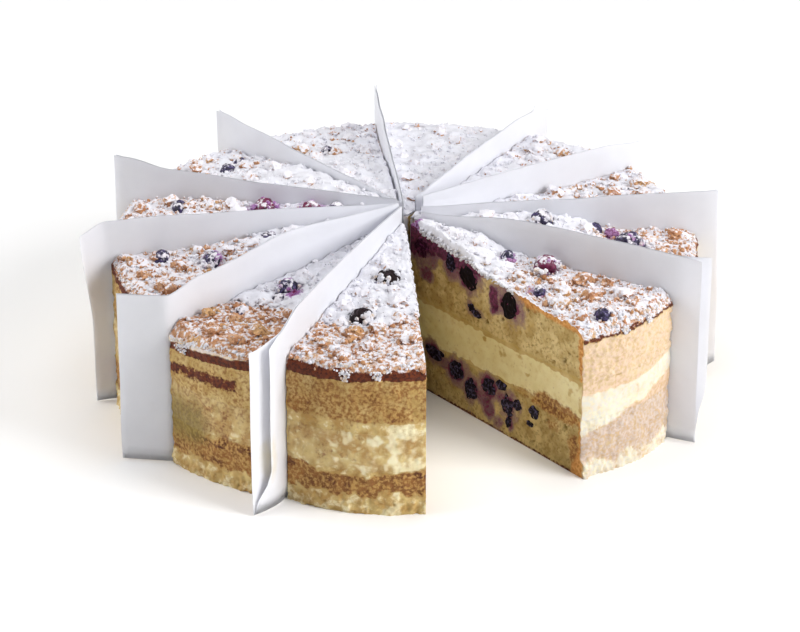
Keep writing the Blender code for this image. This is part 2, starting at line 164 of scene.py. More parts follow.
# Toasted crumb on the open slice's face, given as the juice is.
BROWNED = [
    (98, 26, 11, 4.5, 1.1),
    (109, 25, 9, 4, 1.05),
    (114.5, 11, 3.5, 8, 1),
    (100, 17.5, 5, 3, 0.6),
    (83, 25, 9, 2.2, 0.45),
    (33, 13, 10, 4, 0.35),
    (84, 67, 9, 2.6, 0.7),
    (97, 67, 9, 2, 0.8),
    (64, 65, 5, 3.5, 0.5),
]


def outward(angle):
    turn = np.radians(angle)
    return np.stack([np.sin(turn), -np.cos(turn), np.zeros_like(turn)], axis=-1)


def sideways(angle):
    """The direction in which the angle grows."""
    turn = np.radians(angle)
    return np.stack([np.cos(turn), np.sin(turn), np.zeros_like(turn)], axis=-1)


def mix(start, end, share):
    return start + (end - start) * share


def smooth(share):
    share = np.clip(share, 0.0, 1.0)
    return share * share * (3.0 - 2.0 * share)


def past(value, edge, blur):
    """0 before an edge and 1 past it, blurred over a width."""
    return smooth((value - edge) / blur + 0.5)


def between(three, share):
    """A value that runs through three, at the right cut, the middle and the left cut."""
    return np.interp(share, (0.0, 0.5, 1.0), three)


def bumps(places, height, spacing, seed):
    """Smooth bumps of a given height and spacing; each seed has its own."""
    scaled = places.reshape(-1, 3) / spacing + seed * np.array((1.0, 3.7, -1.0))
    return height * np.array([noise.noise(place) for place in scaled.tolist()]).reshape(places.shape[:-1])


class Slice:
    """One slice's plan: its two cut faces, its rim, and the planes between its layers."""

    def __init__(self, number):
        self.letter, *self.shrink, self.bulge, base_drop, cream_drop, self.spread = SLICES[number]
        (self.right, self.rise_right), (self.left, self.rise_left) = CUTS[number:number + 2]
        self.number = number
        self.gap_right = PAPER_CUT if number > 0 else 0.0
        self.gap_left = PAPER_CUT if number < len(SLICES) - 1 else 0.0
        self.drops = (base_drop, cream_drop)
        self.middle = (self.right + self.left) / 2
        self.outside = OUTSIDES.get(self.letter, USUAL_OUTSIDE)
        self.shows = self.letter in "abk"
        self.open = self.letter == "k"
        self.facing = self.letter == "a"
        # The gap's face, on the open slice and the facing one: its angle, its share across and the way in.
        self.face_angle = self.left if self.open else self.right
        self.face_share = 1.0 if self.open else 0.0
        self.inwards = sideways(self.face_angle) * (1 if self.open else -1)

    def angle(self, radius, share):
        right = self.right - np.degrees(np.arcsin(self.gap_right / radius))
        left = self.left + np.degrees(np.arcsin(self.gap_left / radius))
        return mix(right, left, share)

    def on_plan(self, radius, share):
        return outward(self.angle(radius, share)) * radius[..., None]

    def to_cut(self, radius, share):
        """About how far a place is from the nearer cut."""
        return np.minimum(share, 1 - share) * radius * math.radians(self.right - self.left)

    def rim(self, share):
        return CAKE_RADIUS - mix(*self.shrink, share) + self.bulge * 4 * share * (1 - share)

    def plane(self, places, heights, drop):
        reach = places @ outward(self.middle) / CAKE_RADIUS
        return mix(*heights, reach) - drop * mix(0.25, 1.0, reach)

    def base_top(self, places):
        return self.plane(places, BASE_TOP, self.drops[0])

    def cream_top(self, places):
        return self.plane(places, CREAM_TOP, self.drops[1])

    def crust(self, radius, share):
        """The height of the baked top without its relief."""
        rim = self.rim(share)
        rise = mix(self.rise_right, self.rise_left, share) * radius / rim
        inside = 1 - np.minimum(radius / (rim - SHOULDER_WIDTH), 1)
        over = np.maximum(0.0, 1 - (rim - radius) / SHOULDER_WIDTH)
        return CRUST_HEIGHT + rise + SHOULDER_RISE * (1 - over ** SHOULDER_POWER) + DOME_RISE * inside ** 1.6


slices = [Slice(number) for number in range(len(SLICES))]


def border(left, rim, right, tip):
    """Shares out and across at stations round a slice, anticlockwise from above from the tip's left end."""
    out = [np.linspace(0, 1, left, False), np.ones(rim), np.linspace(1, 0, right, False), np.zeros(tip)]
    across = [np.ones(left), np.linspace(1, 0, rim, False), np.zeros(right), np.linspace(0, 1, tip, False)]
    return np.concatenate(out), np.concatenate(across)


def cells(places, spacing, seed, shuffle):
    """How far places are from the nearest of many scattered points, and that point's own random share."""
    nearest = [noise.voronoi(place) for place in (places.reshape(-1, 3) / spacing + seed).tolist()]
    away = [distances[0] for distances, points in nearest]
    own = [noise.cell(points[0] * shuffle) for distances, points in nearest]
    return np.array((away, own)).reshape(2, *places.shape[:-1])


def pores(places):
    """How deep the sponge's bubbles are, from 0 to 1: round, of two ranges of size, and wider further out."""
    total = np.zeros(places.shape[:-1])
    further_out = smooth((np.linalg.norm(places[..., :2], axis=-1) - 30) / 50)
    for spacing, least, most, seed in ((5.6, 0.05, 0.34, 31), (3.1, 0.08, 0.26, 32)):
        away, own = cells(places, spacing, seed, 5.1)
        wide = mix(least, most, own) * (0.75 + 0.25 * further_out)
        total = np.maximum(total, smooth((wide - away) / 0.09 + 0.2))
    return total


# How rough sponge, cream and a well scraped outside are, of 1; how deep a bubble is; and the power of
# the share out that keeps the outside's relief to the rim.
SPONGE = 1.0
CREAM = 0.3
SCRAPED = 0.6
PORE_DEPTH = 1.3
RIM_POWER = 60


def walls(one, out, across, levels, heights, crumb, proud=None):
    """Rings of points from a layer's floor to its roof, with the relief of its outside and cut faces.

    They come with what the painting needs at each: radius, share across, height and depth of a bubble.
    """
    radius = mix(TIP_RADIUS, one.rim(across), out)
    places = one.on_plan(radius, across)
    low, high = heights(one, places, radius, across)
    up = np.linspace(0, 1, levels + 1)[:, None]
    height = mix(low, high, up)
    places = places + UP * height[..., None]
    rough = bumps(places * (1, 1, 1.6), 0.8, 9.0, one.number)
    coarse = SCRAPED if one.letter in "ab" else crumb
    rough += coarse * (bumps(places, 0.7, 3.0, 7) + bumps(places, 0.6, 1.5, 8))
    if proud:
        rough += proud(one, places, across, height)
    stand_out = np.broadcast_to(out ** RIM_POWER, height.shape) * rough
    places = places + outward(one.angle(radius, across)) * stand_out[..., None]
    bubbles_and_shade = np.zeros_like(height)
    if one.open or one.facing:
        edge = smooth(np.minimum(up, 1 - up) * 6)
        ringed = edge * smooth(out * (1 - out) * 60) * (across == one.face_share)
        bubbles_and_shade = ringed * pores(places)
        rough = bumps(places, 0.5, 2.2, 5) + bumps(places, 0.3, 0.9, 6)
        places = places + one.inwards * (crumb * (bubbles_and_shade * PORE_DEPTH - ringed * rough))[..., None]
    return places, np.broadcast_to(radius, height.shape), np.broadcast_to(across, height.shape), height, bubbles_and_shade


# Points along a cut that doesn't show, round a rim that doesn't or does show well, and round a tip.
HIDDEN_CUT = 24
RIM_STATIONS = (60, 100)
TIP_STATIONS = 4


def layer(one, open_cut, facing_cut, levels, heights, crumb, proud):
    """A layer's walls and faces, with flat caps: how many points the gap's faces and the rings up get."""
    left = open_cut if one.open else HIDDEN_CUT
    right = facing_cut if one.facing else HIDDEN_CUT
    out, across = border(left, RIM_STATIONS[one.shows], right, TIP_STATIONS)
    rings = walls(one, out, across, levels[one.shows], heights, crumb, proud)
    around = len(out)
    roof = [levels[one.shows] * around + at for at in range(around)]
    return rings, wall_faces(levels[one.shows], around) + [list(range(around))[::-1], roof]


def wall_faces(levels, around):
    level, station = np.mgrid[0:levels, 0:around]
    beside = (station + 1) % around
    corners = (level * around + station, level * around + beside)
    above = ((level + 1) * around + beside, (level + 1) * around + station)
    return np.stack(corners + above, axis=-1).reshape(-1, 4).tolist()


# Edges sharper than this are shaded as edges.
CREASE = math.radians(55)


def piece(name, places, faces, finish, slot, *nodes, **masks):
    """A shaded mesh from points in millimetres, riding on the cake, in place of some nodes of the frame."""
    mesh = bpy.data.meshes.new(name)
    mesh.from_pydata(((places.reshape(-1, 3) + AXIS) * MM).tolist(), [], faces)
    for mask, values in masks.items():
        painted = mesh.attributes.new(mask, "FLOAT", "POINT")
        painted.data.foreach_set("value", np.clip(values, 0, 1).astype(np.float32).ravel())
    mesh.shade_smooth()
    mesh.set_sharp_from_angle(angle=CREASE)
    mesh.materials.append(finish)
    made = bpy.data.objects.new(name, mesh)
    bpy.context.scene.collection.objects.link(made)
    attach(made, "root")
    if nodes:
        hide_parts(*nodes)
    return made


def near(value, target, width):
    """1 at a target, fading to 0 at a width from it."""
    return smooth(1 - np.abs(value - target) / width)


def spots(table, radius, height, ragged):
    """Soft spots on a cut face, with ragged edges."""
    total = np.zeros_like(height)
    for at, level, half_width, half_height, strength in table:
        reach = np.hypot((radius - at) / half_width, (height - level) / half_height)
        total = np.maximum(total, strength * smooth(1.45 - reach + 0.16 * ragged))
    return total


def halos(berries, wider, taller, strength):
    """Juice that stands past the outlines of cut berries."""
    return [(at, level, wide + wider, tall + taller, strength) for at, level, wide, tall in berries]


OPEN_JUICE = STAINS + halos(CUT_BERRIES, 1.1, 1.1, 1.05) + halos(CUT_BERRIES, 4.0, 3.2, 0.6)
FACING_JUICE = halos(OTHER_CUT_BERRIES, 1.6, 1.6, 0.8)


def ragged_edge(places):
    """How far the painted edges stray, in millimetres."""
    return bumps(places, 2.6, 9.0, 11) + bumps(places, 1.8, 3.0, 12)


def dark_band(one, across, height, ragged):
    """The band of dark crust under the powdered top: where it shows, and where the outside is above it."""
    start = one.crust(one.rim(across), across) - between(one.outside[6], across) + 0.35 * ragged
    over = past(height, start, 0.8)
    return (1 - over) * past(height - start, -between(one.outside[7], across), 0.9), over


def scraped_outside(one, places, across, height, ragged, outside):
    """Masks of an outside: crumb on the cream, the cream's smear, toast, crust, paleness from a painted
    highlight and a pale lip, and dust.
    """
    foot, top, cover, over_toast, under_toast, highlight_washout = one.outside[:6]
    # Where a painted highlight washes the outside out, its painted edges are calmer, the foot's smear lower
    # and fuller, and the dark band fainter.
    calm = 1 - 0.6 * highlight_washout
    low = between(foot, across) + calm * ragged
    high = between(top, across) + 0.5 * calm * ragged
    band = past(height, low, 1.6) * past(high, height, 2.0)
    patchy = np.clip(between(cover, across) + bumps(places, 0.5, 6.0, 13) + bumps(places, 0.4, 2.6, 14), 0, 1)
    at_foot = past(FOOT - 2.0 * highlight_washout + 1.2 * ragged, height, 2.0)
    foot_smear = at_foot * (0.72 + 0.2 * highlight_washout + bumps(places, 0.5, 5.0, 15))
    above = past(height, high, 2.4)
    below = past(low, height, 2.0) * (1 - at_foot)
    toast = above * over_toast + below * under_toast + band * (1 - patchy) * 0.6 * smooth(under_toast)
    toast = np.maximum(toast, band * smooth(under_toast) * smooth(bumps(places, 2.0, 2.4, 21) - 0.2))
    toast = toast + toast * bumps(places, 0.5, 8.0, 23)
    clumps = near(height, high + 1.0, 2.4) * smooth(bumps(places, 1.6, 6.0, 16) + 0.3)
    clumps = np.maximum(clumps, near(height, low - 1.0, 2.2) * smooth(bumps(places, 1.2, 9.0, 17) + 0.5))
    toast = outside * np.maximum(toast, 1.15 * clumps * smooth(under_toast * 2 - 0.9))
    line, over_line = dark_band(one, across, height, ragged)
    specks = 0.5 * outside * near(height, low - 3.0, 6.0) * smooth(under_toast * 2 - 1)
    specks = specks * smooth(bumps(places, 1.6, 7.0, 18) + 0.4)
    return {
        "crumbed": outside * (1 - band * patchy),
        "cream": np.maximum(outside * np.maximum(band * patchy, foot_smear), outside * 0.8 * over_line),
        "toast": toast,
        "crust": np.maximum(outside * line * (1.0 - 0.3 * highlight_washout), specks),
        # Paleness: a painted highlight over a strongly lit outside, and the pale lip over the dark band.
        "pale_lip_and_highlight": outside * np.maximum(highlight_washout * (1 - line), over_line),
        "dust": outside * over_line * (0.7 + bumps(places, 0.8, 2.4, 19)),
    }


# Slice b's side has a dark streak over its cream, from and to what height across it, and how wide.
STREAK = (48.4, 46.4)
STREAK_WIDTH = 4.6


def painting(one, places, radius, across, height, bubbles_and_shade):
    """Masks of a layer's walls: its outside's, and on its cuts the skin, juice, painted shade in bubbles,
    crumb and toast.
    """
    rim = one.rim(across)
    outside = smooth((radius - rim + 0.4) / 0.3)
    ragged = ragged_edge(places)
    masks = scraped_outside(one, places, across, height, ragged, outside)
    if one.letter == "b":
        streak = near(height, mix(*STREAK, across) + 0.35 * ragged, STREAK_WIDTH)
        streak = streak * smooth((across - 0.32) * 14)
        dark = outside * streak * (0.95 + bumps(places, 0.5, 2.6, 22))
        masks["toast"] = np.maximum(masks["toast"], outside * 1.3 * streak)
        masks["crust"] = np.maximum(masks["crust"], dark)
        # Painted shade over the lower left of the side, laid in with the bubbles' painted shade.
        bubbles_and_shade = np.maximum(bubbles_and_shade, outside * near(height, 24.0, 22.0) * smooth((across - 0.45) * 3))
    cut = 1 - outside
    cream_foot = one.base_top(places)
    cream_head = one.cream_top(places)
    joint = np.maximum(near(height, cream_foot, 2.0), near(height, cream_head, 2.0))
    wide = 3.0 + 1.6 * smooth((height - 44) / 16) + 4.5 * smooth((14 - height) / 12)
    skin = smooth((radius - rim + wide + 0.3 * ragged) / 2.8)
    under_crust = smooth((height - one.crust(radius, across) + 4.2 + 0.4 * ragged) / 3.0)
    skin = np.maximum(skin, under_crust * smooth((radius - 69) / 12))
    masks["skin"] = cut * 0.9 * skin * ((height < cream_foot) | (height > cream_head))
    masks["crumbed"] = np.maximum(masks["crumbed"], cut * smooth(joint + 0.3 * ragged))
    masks["crust"] = np.maximum(masks["crust"], cut * 0.62 * smooth((1.7 + 0.3 * ragged - height) / 1.0))
    masks["painted_shade"] = bubbles_and_shade
    masks["juice"] = np.zeros_like(height)
    if one.open:
        on_face = across > 0.99
        at_tip = radius < TIP_RADIUS + 0.3
        masks["juice"] = spots(OPEN_JUICE, radius, height, ragged) * cut * (on_face | at_tip)
        masks["toast"] = np.maximum(masks["toast"], cut * on_face * spots(BROWNED, radius, height, ragged))
    else:
        tip_dust = 1.2 * smooth((TIP_RADIUS + 0.5 - radius) / 0.4)
        masks["dust"] = np.maximum(masks["dust"], tip_dust)
    if one.facing:
        masks["juice"] = spots(FACING_JUICE, radius, height, ragged) * cut * (across < 0.01)
    return masks


def linear(text):
    """An sRGB hex colour as linear red, green, blue and alpha."""
    parts = [int(text[at:at + 2], 16) / 255 for at in (1, 3, 5)]
    return [part / 12.92 if part <= 0.04045 else ((part + 0.055) / 1.055) ** 2.4 for part in parts] + [1.0]


def feed(tree, node, feeds):
    """Feeds a node's sockets, from values or from other sockets."""
    for socket, value in feeds.items():
        if isinstance(value, bpy.types.NodeSocket):
            tree.links.new(value, node.inputs[socket])
        else:
            node.inputs[socket].default_value = value


def add(tree, kind, feeds, out=0, **settings):
    """Adds a shader node with what feeds its sockets and its other settings, and gives one of its outputs."""
    made = tree.nodes.new("ShaderNode" + kind)
    for name, value in settings.items():
        setattr(made, name, value)
    feed(tree, made, feeds)
    return made.outputs[out]


def finish_tree(name, *grains):
    """A new material, its tree and shader, and a noise for each grain: its size in millimetres and detail."""
    made = bpy.data.materials.new(name)
    made.use_nodes = True
    tree = made.node_tree
    noises = []
    for size, detail in grains:
        where = add(tree, "TexCoord", {}, "Object")
        feeds = {"Vector": where, "Scale": 1000 / size, "Detail": detail}
        noises.append(add(tree, "TexNoise", feeds))
    return made, tree, tree.nodes["Principled BSDF"], *noises


def broken(tree, mask, grain, spread, low, high):
    """A painted mask with a grain in its edge, so that it ends in crumbs and not in a blur."""
    painted = add(tree, "Attribute", {}, "Fac", attribute_name=mask)
    lower = add(tree, "Math", {0: grain, 1: 0.5}, operation="SUBTRACT")
    moved = add(tree, "Math", {0: lower, 1: spread, 2: painted}, operation="MULTIPLY_ADD")
    feeds = {"Value": moved, "From Min": low, "From Max": high}
    return add(tree, "MapRange", feeds, interpolation_type="SMOOTHSTEP")


def mottle(tree, fac, first, second, low=0.38, high=0.62):
    """Two colours, mixed by a noise between two of its values."""
    share = add(tree, "MapRange", {"Value": fac, "From Min": low, "From Max": high})
    return add(tree, "Mix", {0: share, 6: linear(first), 7: linear(second)}, 2, data_type="RGBA")


def cake_finish(name, plain, specks, highlight_and_lip_tint, grain_mm, rough, depth, soft):
    """Crumb or cream that carries the painted masks: smear, toasted crumb, crust, juice, painted shade, dust,
    and paleness from a painted highlight and a pale lip.
    """
    grains = ((7.0, 3.0), (grain_mm, 4.0), (1.4, 4.0))
    made, tree, shader, patches, grain, fine = finish_tree(name, *grains)
    colour = mottle(tree, patches, *plain)
    feeds = {"Value": grain, "From Min": 0.5, "From Max": 0.68, "To Max": 0.8}
    share = add(tree, "MapRange", feeds)
    colour = add(tree, "Mix", {0: share, 6: colour, 7: linear(specks)}, 2, data_type="RGBA")
    shares = {}
    for mask, noise_fac, blend, spread, low, high, first, second in (
        ("crumbed", grain, patches, 0.8, 0.35, 0.65, "#CFB67C", "#BA9C5C"),
        ("toast", fine, fine, 1.4, 0.1, 0.9, "#BE9452", "#8E5F2E"),
        ("toast", fine, patches, 1.4, 0.8, 1.2, "#9A6630", "#6E401A"),
        ("cream", grain, patches, 1.2, 0.1, 0.7, "#D6BC7C", "#B48C4C"),
        ("cream", grain, patches, 0.8, 0.62, 1.05, "#F8EDC6", "#E8D6A6"),
        ("crust", fine, fine, 1.2, 0.3, 0.7, "#72310F", "#44190A"),
        ("skin", fine, fine, 1.2, 0.2, 0.9, "#DEA25A", "#B67838"),
        # Painted shade: darker olive in the bubbles of a cut face, and low on slice b's side.
        ("painted_shade", grain, fine, 0.5, 0.2, 1.0, "#97803F", "#80682F"),
        ("juice", fine, fine, 0.9, 0.1, 0.55, "#7C5268", "#A28A74"),
        ("juice", fine, fine, 1.0, 0.6, 0.9, "#42142E", "#782E54"),
        ("dust", grain, patches, 1.6, 0.4, 0.8, "#E6E2E4", "#DCD3CE"),
    ):
        over = mottle(tree, blend, first, second)
        shares[mask] = broken(tree, mask, noise_fac, spread, low, high)
        colour = add(tree, "Mix", {0: shares[mask], 6: colour, 7: over}, 2, data_type="RGBA")
    # Painted highlight: the paleness mask turns a strongly lit outside and the pale lip paler, towards the
    # tint, or towards a grey white where there is cream.
    pale_lip_and_highlight = add(tree, "Attribute", {}, "Fac", attribute_name="pale_lip_and_highlight")
    feeds = {"Value": fine, "From Min": 0.36, "From Max": 0.6, "To Min": 0.3, "To Max": 0.78}
    part = add(tree, "MapRange", feeds)
    part = add(tree, "Math", {0: pale_lip_and_highlight, 1: part}, operation="MULTIPLY")
    feeds = {0: shares["cream"], 6: linear(highlight_and_lip_tint), 7: linear("#DBD9D4")}
    over = add(tree, "Mix", feeds, 2, data_type="RGBA")
    colour = add(tree, "Mix", {0: part, 6: colour, 7: over}, 2, data_type="RGBA")
    bump = add(tree, "Bump", {"Height": grain, "Distance": 0.3 * MM, "Strength": depth})
    feeds = {"Base Color": colour, "Normal": bump, "Roughness": rough, "Subsurface Weight": soft}
    feed(tree, shader, {**feeds, "Subsurface Radius": (1.0, 0.7, 0.35), "Subsurface Scale": 2.0 * MM})
    return made


# Lemon sponge, baked in a tin: matt, open and pale yellow, with a fine uneven grain. The lower half is
# painted darker, as painted shade for the dimmer light low on the cake.
# The fourth colour of each is the tint of the painted highlight and of the pale lip.
sponge = cake_finish("lemon_sponge", ("#D8C28C", "#B59A60"), "#94783E", "#F0D6BE", 1.5, 0.85, 1.0, 0.12)
# The base's sponge: the same, painted darker as shade.
shaded_base_sponge = cake_finish("base_sponge_painted_darker", ("#D0B87E", "#A88E54"), "#866C36", "#E2D3C7", 1.5, 0.8, 1.0, 0.12)


def base_heights(one, places, radius, across):
    return np.zeros(len(places)), one.base_top(places)


def foot_relief(one, places, across, height):
    """The foot's crumbs, and how it spreads past the corner at the left cut."""
    low = smooth((FOOT - height) / 3.0)
    ragged = bumps(places, 0.8, 3.6, one.number + 40) + bumps(places, 0.9, 1.6, 41)
    return low * (0.2 + ragged) + one.spread * smooth((across - 0.9) * 10) * low


for one in slices:
    rings, faces = layer(one, 170, 150, (16, 30), base_heights, SPONGE, foot_relief)
    masks = painting(one, *rings)
    piece("sponge_base_" + one.letter, rings[0], faces, shaded_base_sponge, "sponge", f"slice_{one.letter}_base", **masks)

# The lemon cream: one soft layer piped on the base, squeezed out a little at the rim and scraped along it.
# It is smooth and pale yellow, with a faint shine, and on the outside it picked up toasted crumb.

# Its fourth colour is the tint of the painted highlight and of the pale lip.
cream = cake_finish("lemon_cream", ("#EBE0B1", "#E4D6A1"), "#DFCF97", "#EFD4BA", 3.0, 0.5, 0.3, 0.25)


def cream_heights(one, places, radius, across):
    return one.base_top(places) + GAP, one.cream_top(places)


def squeezed(one, places, across, height):
    return (0.4 + bumps(places, 1.1, 6.0, one.number + 20)) * (0.0 if one.shows else 0.6)


for one in slices:
    (*rings, bubbles_and_shade), faces = layer(one, 120, 120, (12, 20), cream_heights, CREAM, squeezed)
    masks = painting(one, *rings, 0.0 * bubbles_and_shade)
    masks["crust"] = 0.0 * masks["crust"]
    piece("lemon_cream_" + one.letter, rings[0], faces, cream, "cream", f"slice_{one.letter}_cream", **masks)

# The sponge tops: the upper half of each slice, with the crumb topping baked onto it in lumps. The side
# has a band of dark crust under the edge.


def lumps(places):
    """How high the topping's lumps stand over the baked surface, at places on plan."""
    flat = places * (1, 1, 0)
    total = np.zeros(places.shape[:-1])
    for spacing, height, seed in ((5.4, 1.7, 51), (2.2, 1.0, 52)):
        away, own = cells(flat, spacing, seed, 7.3)
        total += height * (0.35 + 0.65 * own) * (1 - smooth(away / 0.75))
    return total + bumps(flat, 0.7, 1.2, 53)


def top_surface(one, places, radius, across):
    """The baked top's height with its low relief, which fades out at the crust's edge."""
    relief = bumps(places * (1, 1, 0), 1.1, 8.0, one.number + 60)
    return one.crust(radius, across) + relief * smooth((one.rim(across) - radius) / 4.0)


def topping_height(one, places, radius, across):
    edge = smooth((one.rim(across) - radius + 0.6) / 3.0)
    return top_surface(one, places, radius, across) + lumps(places) * edge


def top_heights(one, places, radius, across):
    return one.cream_top(places) + GAP, topping_height(one, places, radius, across)


def grid_on_top(one, rows, columns):
    """Places on plan, radius and share across of a grid over a slice's top."""
    out, across = np.meshgrid(np.linspace(0, 1, rows + 1), np.linspace(0, 1, columns + 1), indexing="ij")
    radius = mix(TIP_RADIUS, one.rim(across), out)
    return one.on_plan(radius, across), radius, across


def grid_faces(index):
    corners = (index[:-1, :-1], index[:-1, 1:], index[1:, 1:], index[1:, :-1])
    return np.stack(corners, axis=-1).reshape(-1, 4)


def top_index(rows, columns, levels):
    """The numbers of a top's points over its grid: the walls' last ring round it, and the rest after them."""
    around = 2 * (rows + columns)
    ring = levels * around + np.arange(around)
    index = np.zeros((rows + 1, columns + 1), int)
    index[:rows, columns] = ring[:rows]
    index[rows, :0:-1] = ring[rows:rows + columns]
    index[:0:-1, 0] = ring[rows + columns:2 * rows + columns]
    index[0, :columns] = ring[2 * rows + columns:]
    index[1:-1, 1:-1] = (levels + 1) * around + np.arange((rows - 1) * (columns - 1)).reshape(rows - 1, -1)
    return index


def crumb_finish(name, golden, tan, dark):
    """Butter crumb, baked: matt and golden brown in patches, with a dark grain that is partly painted shade,
    and powder caught on what faces up.
    """
    grains = ((4.0, 3.0), (1.0, 3.0), (1.6, 2.0), (11.0, 2.0))
    made, tree, shader, patches, grain, dust, regions = finish_tree(name, *grains)
    facing = add(tree, "SeparateXYZ", {0: add(tree, "NewGeometry", {}, "Normal")}, "Z")
    powder = add(tree, "Attribute", {}, "Fac", attribute_name="powder")
    raised = add(tree, "Math", {0: facing, 1: 0.5, 2: powder}, operation="MULTIPLY_ADD")
    caught = add(tree, "Math", {0: dust, 1: 2.2, 2: raised}, operation="MULTIPLY_ADD")
    colour = mottle(tree, patches, golden, tan, 0.4, 0.62)
    for value, low, high, most, kind, shade in (
        (regions, 0.55, 0.66, 0.45, "LINEAR", "#D9B273"),
        # The dark grain: darker crumb, and partly painted shade between crumbs.
        (grain, 0.5, 0.68, 0.8, "LINEAR", dark),
        (caught, 1.7, 2.2, 1.0, "SMOOTHSTEP", "#E6E4EA"),
    ):
        feeds = {"Value": value, "From Min": low, "From Max": high, "To Max": most}
        share = add(tree, "MapRange", feeds, interpolation_type=kind)
        colour = add(tree, "Mix", {0: share, 6: colour, 7: linear(shade)}, 2, data_type="RGBA")
    for mask, first, second in (("juice", "#6A2F5A", "#AE84B0"), ("crust", "#72310F", "#44190A")):
        share = broken(tree, mask, grain, 1.0, 0.3, 0.7)
        over = mottle(tree, grain, first, second)
        colour = add(tree, "Mix", {0: share, 6: colour, 7: over}, 2, data_type="RGBA")
    bump = add(tree, "Bump", {"Height": grain, "Distance": 0.3 * MM, "Strength": 0.8})
    feed(tree, shader, {"Base Color": colour, "Normal": bump, "Roughness": 0.9})
    return made


topping = crumb_finish("baked_crumb_topping", "#B67F58", "#CDA07A", "#6C4026")

# Out to what radius the powder hides a slice's top, and its share at the rim.
POWDER = {
    "a": (84, 0.36),
    "b": (87, 0.24),
    "c": (66, 0.5),
    "d": (60, 0.52),
    "e": (66, 0.7),
    "f": (84, 0.82),
    "g": (112, 0.9),
    "h": (92, 0.82),
    "i": (66, 0.68),
    "j": (80, 0.42),
    "k": (60, 0.5),
}


def fullness(one, places, radius):
    """1 where the powder lies whole, falling to 0 past its ragged edge."""
    return past(POWDER[one.letter][0] + bumps(places * (1, 1, 0), 14.0, 22.0, 83), radius, 14.0)


# Slices where topping and powder are heaped: how high, between what radii, and over what run each rises
# and falls.
HEAPS = {
    "c": (4, 4, 14, 104, 44),
    "d": (4.6, 4, 14, 126, 40),
    "e": (7.4, 4, 14, 124, 60),
    "f": (4.5, 4, 14, 92, 40),
    "j": (6, 14, 22, 98, 34),
    "k": (3.4, 3, 9, 54, 16),
}


def heaped(one, radius):
    high, inner, rise, outer, fall = HEAPS.get(one.letter, (0.0, 0.0, 1.0, 1.0, 1.0))
    return high * smooth((outer - radius) / fall) * smooth((radius - inner) / rise)


def powder_cover(one, places, radius):
    return mix(POWDER[one.letter][1], 1.25, fullness(one, places, radius))


# Where juice came up through the topping and the powder: angle, radius, reach and strength.
JUICE_ABOVE = [
    (-38, 75, 6, 1),
    (-44, 70, 5, 0.8),
    (-41.5, 73, 9, 0.6),
    (-69, 87, 7, 0.8),
    (-98.5, 61.5, 12, 0.9),
    (-97, 40.5, 12, 0.8),
    (-97, 30, 8, 0.6),
    (82.6, 98.5, 10, 0.8),
    (86, 91, 6, 0.9),
    (83, 60, 7, 0.4),
    (56.8, 72.5, 7, 0.8),
    (55, 54, 5.5, 1),
    (43.5, 82, 5, 0.8),
    (130, 66, 8, 0.5),
    (-7.2, 51, 6, 0.25),
    (50, 6, 6, 1.3),
]


def juice_above(places):
    total = np.zeros(places.shape[:-1])
    for angle, radius, reach, strength in JUICE_ABOVE:
        away = np.linalg.norm(places * (1, 1, 0) - outward(angle) * radius, axis=-1) / reach
        total = np.maximum(total, strength * smooth(1.2 - away))
    return total


# How finely a top is made: points out and across, and rings up its walls. The cuts that show get the most.
TOP_GRIDS = {"k": (180, 84, 42), "a": (150, 84, 34), "b": (116, 76, 30)}
USUAL_TOP_GRID = (84, 50, 12)
# How far from a cut a heap is at its full height.
HEAP_EDGE = 1.6

for one in slices:
    rows, columns, levels = TOP_GRIDS.get(one.letter, USUAL_TOP_GRID)
    out, across = border(rows, columns, rows, columns)
    rings = walls(one, out, across, levels, top_heights, SPONGE)
    faces = wall_faces(levels, len(out)) + [list(range(len(out)))[::-1]]
    lid = grid_faces(top_index(rows, columns, levels)).tolist()
    flat, radius, share = [values[1:-1, 1:-1] for values in grid_on_top(one, rows, columns)]
    heap = heaped(one, radius) * smooth(one.to_cut(radius, share) / HEAP_EDGE)
    inner = flat + UP * (topping_height(one, flat, radius, share) + heap)[..., None]
    line = dark_band(one, share, top_surface(one, flat, radius, share), ragged_edge(flat))[0]
    # The lid's dark band is fainter where a painted highlight washes the outside out.
    on_lid = {
        "powder": powder_cover(one, flat, radius) + 0.08,
        "crust": (1.0 - 0.3 * one.outside[5]) * (line * (radius > one.rim(share) - SHOULDER_WIDTH)),
        "juice": juice_above(flat),
    }
    masks = painting(one, *rings)
    masks["powder"] = np.zeros_like(rings[3])
    masks["powder"][-1] = 0.6
    for mask, values in masks.items():
        masks[mask] = np.concatenate([values.ravel(), on_lid.get(mask, np.zeros_like(radius)).ravel()])
    everything = np.concatenate([rings[0].reshape(-1, 3), inner.reshape(-1, 3)])
    top = piece("sponge_top_" + one.letter, everything, faces + lid, sponge, "topping",
                f"slice_{one.letter}_top", **masks)
    top.data.materials.append(topping)
    finishes = np.repeat((0, 1), (len(faces), len(lid)))
    top.data.polygons.foreach_set("material_index", finishes)

# Loose lumps of the crumb topping: butter, flour and sugar rubbed together and baked, scattered over the
# tops and stuck there. They are knobbly, and browner than what lies under them.

LUMPS_EACH = 16
LUMP_TRIES = 4000
LUMP_RADIUS = (4.2, 2.3)
LUMP_KNOBS = (0.88, 1.16)
LUMP_SPACING = (12.0, 6.0)
LUMP_MARGIN = 1.2
LUMP_LIFT = 0.25


def clearance(one, angle, radius):
    """How far a place on the top is from the nearer cut face and from the rim."""
    to_right = radius * np.sin(np.radians(one.right - angle)) - one.gap_right
    to_left = radius * np.sin(np.radians(angle - one.left)) - one.gap_left
    rim = CAKE_RADIUS - 2.0 - max(one.shrink) / 2 - radius
    return np.minimum(np.minimum(to_right, to_left), rim)


